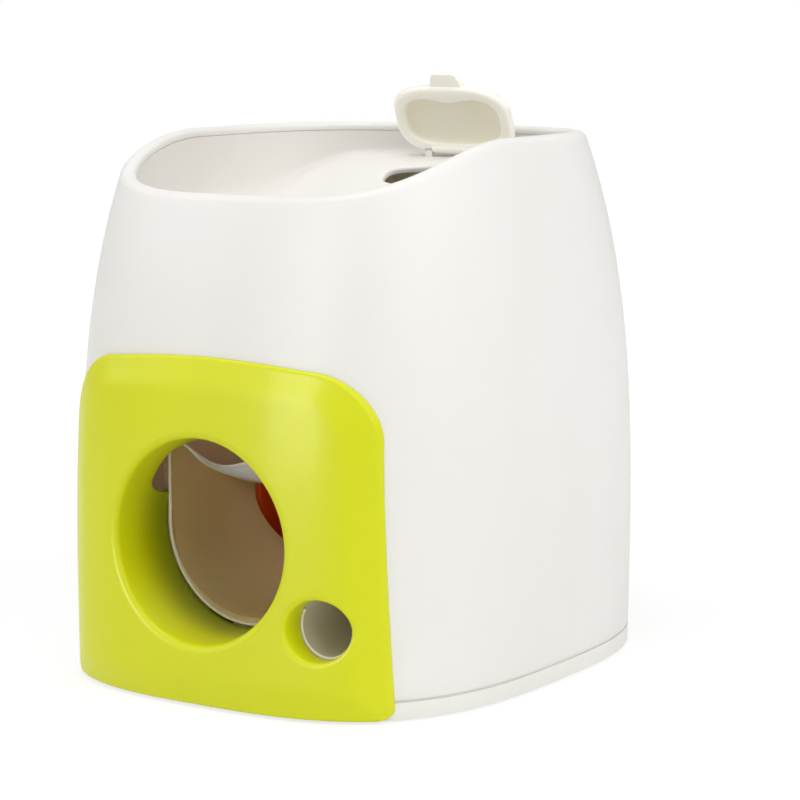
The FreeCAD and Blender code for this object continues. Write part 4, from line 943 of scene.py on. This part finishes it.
# ---------- ball chute
# A one-piece trough that leads the ball from the paddle wheel to the outlet; its warm tan
# colour is painted shade, tinted by orange light bounced off the wheel. A pale bead finishes its
# mouth behind the sleeve, two lips painted lighter as painted light run back along its top edges,
# and the treat tray beside it has a bead as well.
CHUTE_RADIUS = 36.0
CHUTE_MIDDLE_Z = 62.5
CHUTE_TOP = 84.0
EDGE_RADIUS = 35.6
EDGE_STEPS = ((-0.6, -72.8), (-0.2, -73.3), (0.0, -74.0), (0.4, -74.4), (0.9, -74.4), (1.2, -74.0),
              (1.1, -73.4))
CHUTE_STEPS = ((0.1, -71.4), (-0.8, -71.2))
BAND_DEPTHS = (-73.4, -70.9)
BAND_HALF_WIDTH = 37.0
# Faces behind this depth, high on the collar, take the lips' painted light.
LIP_LIGHT_BEHIND = -72.2
LIP_ENDS = (-72.0, -12.0)
LIP_LOW = ([-72.0, -60.3, -53.1, -40.3, -27.8, -12.0], [90.0, 82.6, 77.1, 71.2, 67.0, 63.0],
           [-0.5, -0.74, -0.62, -0.38, -0.3, -0.2])
LIP_HIGH = ([-73.3, -45.3, -25.0], [90.2, 74.8, 72.0], [-0.35, -0.42, 0.0])
LIP_TOP = ((38.6, -0.8), (38.5, 0.3), (38.0, 0.8), (37.2, 0.95), (36.4, 0.5))
LIP_FOOT = ((36.0, 0.5), (36.1, 0.0), (36.6, -0.3))
LIP_ROOT = (36.3, -0.3)
LIP_THINNEST = 0.6
LIP_REACH = (0.3, 0.38)
TRAY_MIDDLE = (48.2, 33.0)
TRAY_EDGE = 11.3
TRAY_BEAD = ((-0.4, -92.9), (-0.4, -93.5), (0.3, -93.8), (0.8, -93.7), (1.0, -93.3), (0.6, -92.7),
             (0.1, -92.3))
TRAY_FRONT = np.array([48.2, -93.7, 33.2])
TRAY_BACK = np.array([56.5, 20.0, 45.4])
HOOD_RADIUS = 11.5
HOOD_TAPER = 3.5
HOOD_SHARE = 0.26
HOOD_WALL = 1.4
HOOD_DROP = 0.1
BEAD_CREASE = 60.0
# The tan is painted shade with orange bounced light in it, for the trough's shaded inside.
chute_painted_shade = plastic("chute_painted_shade_plastic", (214, 188, 142), (206, 178, 130), 0.45, 0.8)
coat_nodes(chute_painted_shade, "ball_chute")
straight_up = np.linspace(CHUTE_TOP, BALL_HOLE[1] + 1.0, 12)
stations = [(-1.0, z, 180.0) for z in straight_up]
stations += [(0.0, 0.0, a) for a in np.linspace(180.0, 360.0, 91)]
stations += [(1.0, z, 360.0) for z in straight_up[::-1]]
rows = []
for side, z, degrees in stations:
    across, rise = math.cos(math.radians(degrees)), math.sin(math.radians(degrees))
    edge = np.array([EDGE_RADIUS * across, BALL_HOLE[1] + EDGE_RADIUS * rise])
    floor_point = np.array([CHUTE_RADIUS * across, CHUTE_MIDDLE_Z + CHUTE_RADIUS * rise])
    if side:
        edge[1], floor_point[1] = z, max(z, CHUTE_MIDDLE_Z)
    inward = -np.array([across, rise])
    ring = []
    for base, steps in ((edge, EDGE_STEPS), (floor_point, CHUTE_STEPS)):
        for step, y in steps:
            x, height = base + inward * step
            ring.append((x, y, height))
    rows.append(ring)
collar = loft("ball_chute_collar", rows, crease=BEAD_CREASE)
trims = []
for side in (-1.0, 1.0):
    rows = []
    for y in np.linspace(*LIP_ENDS, 61):
        high = float(eased_line(np.array(y), *LIP_HIGH))
        low = min(float(eased_line(np.array(y), *LIP_LOW)), high - LIP_THINNEST)
        reach = LIP_REACH[0] + LIP_REACH[1] * (high - low)
        section = [(x, high + step) for x, step in LIP_TOP]
        section += [(x - reach, low + step) for x, step in LIP_FOOT]
        section.append((LIP_ROOT[0], low + LIP_ROOT[1]))
        rows.append([(side * x, y, z) for x, z in section])
    trims.append(loft("ball_chute_lip", rows, crease=BEAD_CREASE))
rows = []
for a in np.radians(np.linspace(150.0, 390.0, 61)):
    x, z = TRAY_MIDDLE[0] + TRAY_EDGE * math.cos(a), TRAY_MIDDLE[1] + TRAY_EDGE * math.sin(a)
    rows.append([(x - math.cos(a) * step, y, z - math.sin(a) * step) for step, y in TRAY_BEAD])
trims.append(loft("treat_chute_edge", rows, crease=BEAD_CREASE))
join_to(collar, trims)
collar_cream = plastic("chute_edge_plastic", (244, 239, 222), (238, 232, 212), 0.4, 0.5)
# Painted light: a whiter, bluer copy of the cream that brightens the lips and takes the orange out
# of the light on them.
lip_painted_light = plastic("lip_painted_light_plastic", (238, 250, 248), (232, 245, 242), 0.4, 0.5)
coat_all(collar, collar_cream)
collar.data.materials.append(chute_painted_shade)
collar.data.materials.append(lip_painted_light)
# The band behind the bead takes the tan painted shade, and the lips take the paler painted light.
for face in collar.data.polygons:
    x, y, z = face.center / MM
    depth, low_half = y - FRONT_SHIFT, z < BALL_HOLE[1] + 2.0
    if BAND_DEPTHS[0] < depth < BAND_DEPTHS[1] and abs(x) < BAND_HALF_WIDTH and low_half:
        face.material_index = 1
    elif depth > LIP_LIGHT_BEHIND and z > BALL_HOLE[1] + 2.0:
        face.material_index = 2
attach(collar, "housing")
tray_cream = plastic("tray_plastic", (226, 220, 198), (218, 211, 186), 0.42, 0.6)
coat_nodes(tray_cream, "treat_chute", "treat_bin")
rows = []
for share in np.linspace(0.0, HOOD_SHARE, 9):
    middle = TRAY_FRONT + (TRAY_BACK - TRAY_FRONT) * share
    ring = []
    inner_radius = HOOD_RADIUS - HOOD_TAPER * share
    half_turn = np.radians(np.linspace(0.0, 180.0, 25))
    for radius, sweep in ((inner_radius + HOOD_WALL, half_turn), (inner_radius, half_turn[::-1])):
        ring += [(middle[0] + radius * math.cos(a), middle[1],
                  middle[2] - HOOD_DROP + radius * math.sin(a)) for a in sweep]
    rows.append(ring)
hood = loft("treat_chute_hood", rows, crease=BEAD_CREASE)
coat_all(hood, tray_cream)
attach(hood, "housing")


# ---------- paddle wheel
# Three blades between two discs in orange plastic, pinned to a steel shaft that
# also turns the treat drum in its grey-white case. The bushes are acetal.
orange = plastic("orange_plastic", (222, 84, 22), (206, 70, 16), 0.3, 0.4)
coat_nodes(orange, "paddle_wheel", "metering_drum")
drum_plastic = plastic("drum_case_plastic", (216, 213, 202), (206, 202, 190), 0.45, 0.8)
coat_nodes(drum_plastic, "drum_case", "drum_case_cover")
bush_plastic = plastic("bush_acetal", (233, 232, 226), (226, 224, 216), 0.3, 0.2)
coat_nodes(bush_plastic, "left_bush", "right_bush")


# ---------- metal and rubber
# Zinc-plated pan-head screws, a ground steel shaft with its clips and pins, and
# soft grey rubber for the feet and the treat wiper.
steel_finish = Finish("plated_steel")
steel_grain = steel_finish.noise(900.0, 3.0, (1.0, 1.0, 8.0))
steel = steel_finish.close({
    "Base Color": steel_finish.mix(steel_grain, paint(196, 197, 196), paint(172, 173, 174)),
    "Metallic": 1.0,
    "Roughness": 0.26 + steel_grain * 0.12,
})
coat_nodes(steel, "wheel_shaft", "wheel_drive_pin", "shaft_clips", "lid_hinge_pin")


class Pattern(Graph):
    """A Geometry Nodes tree that puts one made thing on every point of a mesh."""

    def __init__(self, name, inputs):
        self.tree = bpy.data.node_groups.new(name, "GeometryNodeTree")
        sockets = self.tree.interface
        sockets.new_socket("Geometry", in_out="OUTPUT", socket_type="NodeSocketGeometry")
        sockets.new_socket("Geometry", in_out="INPUT", socket_type="NodeSocketGeometry")
        self.keys = {label: sockets.new_socket(label, in_out="INPUT", socket_type=kind).identifier
                     for label, kind in inputs.items()}
        self.start = self.tree.nodes.new("NodeGroupInput")

    def given(self, label):
        return Flow(self, self.start.outputs[label])

    def size(self, x, y, z):
        return self.node("ShaderNodeCombineXYZ", {}, {0: x, 1: y, 2: z})

    def moved(self, geometry, **sockets):
        return self.node("GeometryNodeTransform", {}, {"Geometry": geometry, **sockets})

    def less(self, geometry, cutters):
        return self.node("GeometryNodeMeshBoolean", {"operation": "DIFFERENCE"},
                         {"Mesh 1": geometry, "Mesh 2": cutters})

    def close(self, instances):
        """Makes the instances real, gives them their material and ends the tree."""
        real = self.node("GeometryNodeRealizeInstances", {}, {"Geometry": instances})
        coated = self.node("GeometryNodeSetMaterial", {},
                           {"Geometry": real, "Material": self.given("Material")})
        self.node("NodeGroupOutput", {}, {"Geometry": coated})

    def piece(self, name, places, values):
        """Plain mesh piece of the tree's result on places given in millimetres."""
        mesh = bpy.data.meshes.new(name)
        mesh.from_pydata([placed(*place) for place in places], [], [])
        made = new_piece(name, mesh)
        step = made.modifiers.new("pattern", "NODES")
        step.node_group = self.tree
        for label, value in values.items():
            step[self.keys[label]] = value
        settle(made)
        return made


screws = Pattern("pan_head_screws", {
    "Head Radius": "NodeSocketFloat", "Head Height": "NodeSocketFloat",
    "Shank Radius": "NodeSocketFloat", "Shank Length": "NodeSocketFloat",
    "Turn": "NodeSocketRotation", "Material": "NodeSocketMaterial"})
head_radius, head_height = screws.given("Head Radius"), screws.given("Head Height")
ball = screws.node("GeometryNodeMeshUVSphere", {}, {"Segments": 32, "Rings": 16, "Radius": 1.0})
dome = screws.moved(ball, Scale=screws.size(head_radius, head_radius, head_height))
block = screws.node("GeometryNodeMeshCube", {}, {"Size": (1.0, 1.0, 1.0)})
above = screws.moved(block, Translation=(0.0, 0.0, 0.5))
wide, narrow = head_radius * 1.15, head_radius * 0.26
sunk = screws.size(0.0, 0.0, head_height * -1.0)
cross = [screws.moved(block, Translation=sunk, Scale=screws.size(wide, narrow, head_height)),
         screws.moved(block, Translation=sunk, Scale=screws.size(narrow, wide, head_height))]
head = screws.less(screws.less(dome, [above]), cross)
shank_length = screws.given("Shank Length")
shank = screws.node("GeometryNodeMeshCylinder", {}, {
    "Vertices": 24, "Radius": screws.given("Shank Radius"), "Depth": shank_length})
shank = screws.moved(shank, Translation=screws.size(0.0, 0.0, shank_length * 0.5))
one_screw = screws.node("GeometryNodeJoinGeometry", {}, {"Geometry": [head, shank]})
screws.close(screws.node("GeometryNodeInstanceOnPoints", {}, {
    "Points": screws.given("Geometry"), "Instance": one_screw, "Rotation": screws.given("Turn")}))
QUARTER = math.radians(90.0)
UPWARD, FORWARD, LEFTWARD = (0.0, 0.0, 0.0), (QUARTER, 0.0, 0.0), (0.0, -QUARTER, 0.0)
CORNERS = [(-1, -1), (1, -1), (-1, 1), (1, 1)]
BASE_SEAT = 4.3
BOWL_SEAT = 140.0
BIN_SEAT = 157.0
HEAD, WASHER_HEAD, HEAD_HEIGHT, SHANK = 2.8, 4.2, 2.0, 1.5
SCREW_PLACES = {
    "base_screws": ([(x * 77.5, y * 55.0, BASE_SEAT) for x, y in CORNERS], UPWARD, HEAD, 12.0),
    "chute_screws": ([(x, y, BASE_SEAT) for x, y in (
        (-24, -58), (24, -58), (-24, 36), (24, 36), (49.7, -73.2), (54.8, -2.7))],
        UPWARD, HEAD, 12.0),
    "bowl_screws": ([(x * BOWL_POST[0], y * BOWL_POST[1], BOWL_SEAT) for x, y in CORNERS],
                    UPWARD, HEAD, 12.0),
    "bin_screws": ([(*place, BIN_SEAT) for place in BIN_EARS], UPWARD, HEAD, 12.0),
    "panel_screws": ([(x, PEG_BACK, z) for x, z in PEGS], FORWARD, WASHER_HEAD, 8.0),
    "case_screws": ([(69.1, 33.7, 67.0), (69.1, -3.7, 67.0), (69.1, 31.8, 52.3)],
                    LEFTWARD, HEAD, 30.6),
}
for name, (places, turn, radius, length) in SCREW_PLACES.items():
    screw_set = screws.piece(name + "_zinc", places, {
        "Head Radius": radius * MM, "Head Height": HEAD_HEIGHT * MM,
        "Shank Radius": SHANK * MM, "Shank Length": length * MM,
        "Turn": turn, "Material": steel})
    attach(screw_set, "housing")
    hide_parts(name)
rubber_finish = Finish("grey_rubber")
rubber_grain = rubber_finish.noise(1800.0, 2.0)
rubber = rubber_finish.close({
    "Base Color": rubber_finish.mix(rubber_grain, paint(96, 96, 94), paint(82, 82, 80)),
    "Roughness": 0.78 + rubber_grain * 0.12,
    "Normal": rubber_finish.bump(rubber_grain, 0.5),
})
coat_nodes(rubber, "rubber_feet", "treat_wiper")


# ---------- studio
# A white floor that keeps only the launcher's soft shadow, soft lamps at the right,
# the front left and above, a card for the gloss of the panel, and a faint warm glow
# inside for the light that comes through the thin plastic.
FLOOR_Z = -0.05
FLOOR_RADII = (3000.0, 0.5)
FLOOR_GLOW = 1.06
SHADOW_REACH = (0.17, 0.42)
GLOW_SHARES = (0.72, 0.28)
SKY_STRENGTH = 0.46
INNER_COLOUR = (1.0, 0.68, 0.38)
INNER_POWER = 0.02
INNER_SIZE = 0.02
INNER_PLACE = (-0.055, 0.03, 0.12)
floor_rows = [circle((0, 0, FLOOR_Z), radius, "z") for radius in FLOOR_RADII]
floor = loft("floor", floor_rows, caps=False)
floor_finish = Finish("white_floor")
matt = floor_finish.node("ShaderNodeBsdfDiffuse", {}, {"Color": paint(246, 246, 246)})
glow = floor_finish.node("ShaderNodeEmission", {},
                         {"Color": (1.0, 1.0, 1.0, 1.0), "Strength": FLOOR_GLOW})
seen, glossy, clear = [floor_finish.node("ShaderNodeLightPath", {}, {}, "Is " + kind + " Ray")
                       for kind in ("Camera", "Glossy", "Transmission")]
for ray in (glossy, clear):
    seen = seen.sum_with("MAXIMUM", seen, ray)
far = floor_finish.node("ShaderNodeVectorMath", {"operation": "LENGTH"}, {0: floor_finish.place}, 1)
share = seen * (GLOW_SHARES[0] + floor_finish.step(far, *SHADOW_REACH) * GLOW_SHARES[1])
lit = floor_finish.node("ShaderNodeMixShader", {}, {0: share, 1: matt, 2: glow})
floor_finish.node("ShaderNodeOutputMaterial", {}, {"Surface": lit})
coat_all(floor, floor_finish.material)

world = bpy.data.worlds.new("studio")
bpy.context.scene.world = world
world.use_nodes = True
sky = Graph()
sky.tree = world.node_tree
sky.tree.nodes.clear()
soft = sky.node("ShaderNodeBackground", {},
                {"Color": (1.0, 0.99, 0.97, 1.0), "Strength": SKY_STRENGTH})
white = sky.node("ShaderNodeBackground", {}, {"Color": (1.0, 1.0, 1.0, 1.0), "Strength": 1.0})
camera_ray = sky.node("ShaderNodeLightPath", {}, {}, "Is Camera Ray")
blend = sky.node("ShaderNodeMixShader", {}, {0: camera_ray, 1: soft, 2: white})
sky.node("ShaderNodeOutputWorld", {}, {"Surface": blend})


def softbox(name, azimuth, height, distance, size, power):
    """Soft lamp that faces the launcher; azimuth 0 is straight in front, 90 its right."""
    lamp = bpy.data.lights.new(name, "AREA")
    lamp.shape = "RECTANGLE"
    lamp.size, lamp.size_y = size
    lamp.energy = power
    holder = new_piece(name, lamp)
    turn, rise = math.radians(azimuth), math.radians(height)
    level = math.cos(rise)
    way = Vector((math.sin(turn) * level, -math.cos(turn) * level, math.sin(rise)))
    holder.location = way * distance + Vector((0.0, 0.0, 0.1))
    holder.rotation_euler = (-way).to_track_quat("-Z", "Y").to_euler()
    return holder


softbox("side_lamp", azimuth=78.0, height=35.0, distance=1.6, size=(1.1, 1.3), power=11.4)
softbox("left_lamp", azimuth=-58.0, height=30.0, distance=1.6, size=(0.9, 1.1), power=5.7)
softbox("top_lamp", azimuth=0.0, height=75.0, distance=1.4, size=(0.8, 0.8), power=7.0)
card = softbox("gloss_card", azimuth=-7.0, height=6.0, distance=1.5, size=(0.7, 1.3), power=24.0)
card.visible_diffuse = False
inner = bpy.data.lights.new("inner_glow", "POINT")
inner.color = INNER_COLOUR
inner.energy = INNER_POWER
inner.shadow_soft_size = INNER_SIZE
new_piece("inner_glow", inner).location = INNER_PLACE
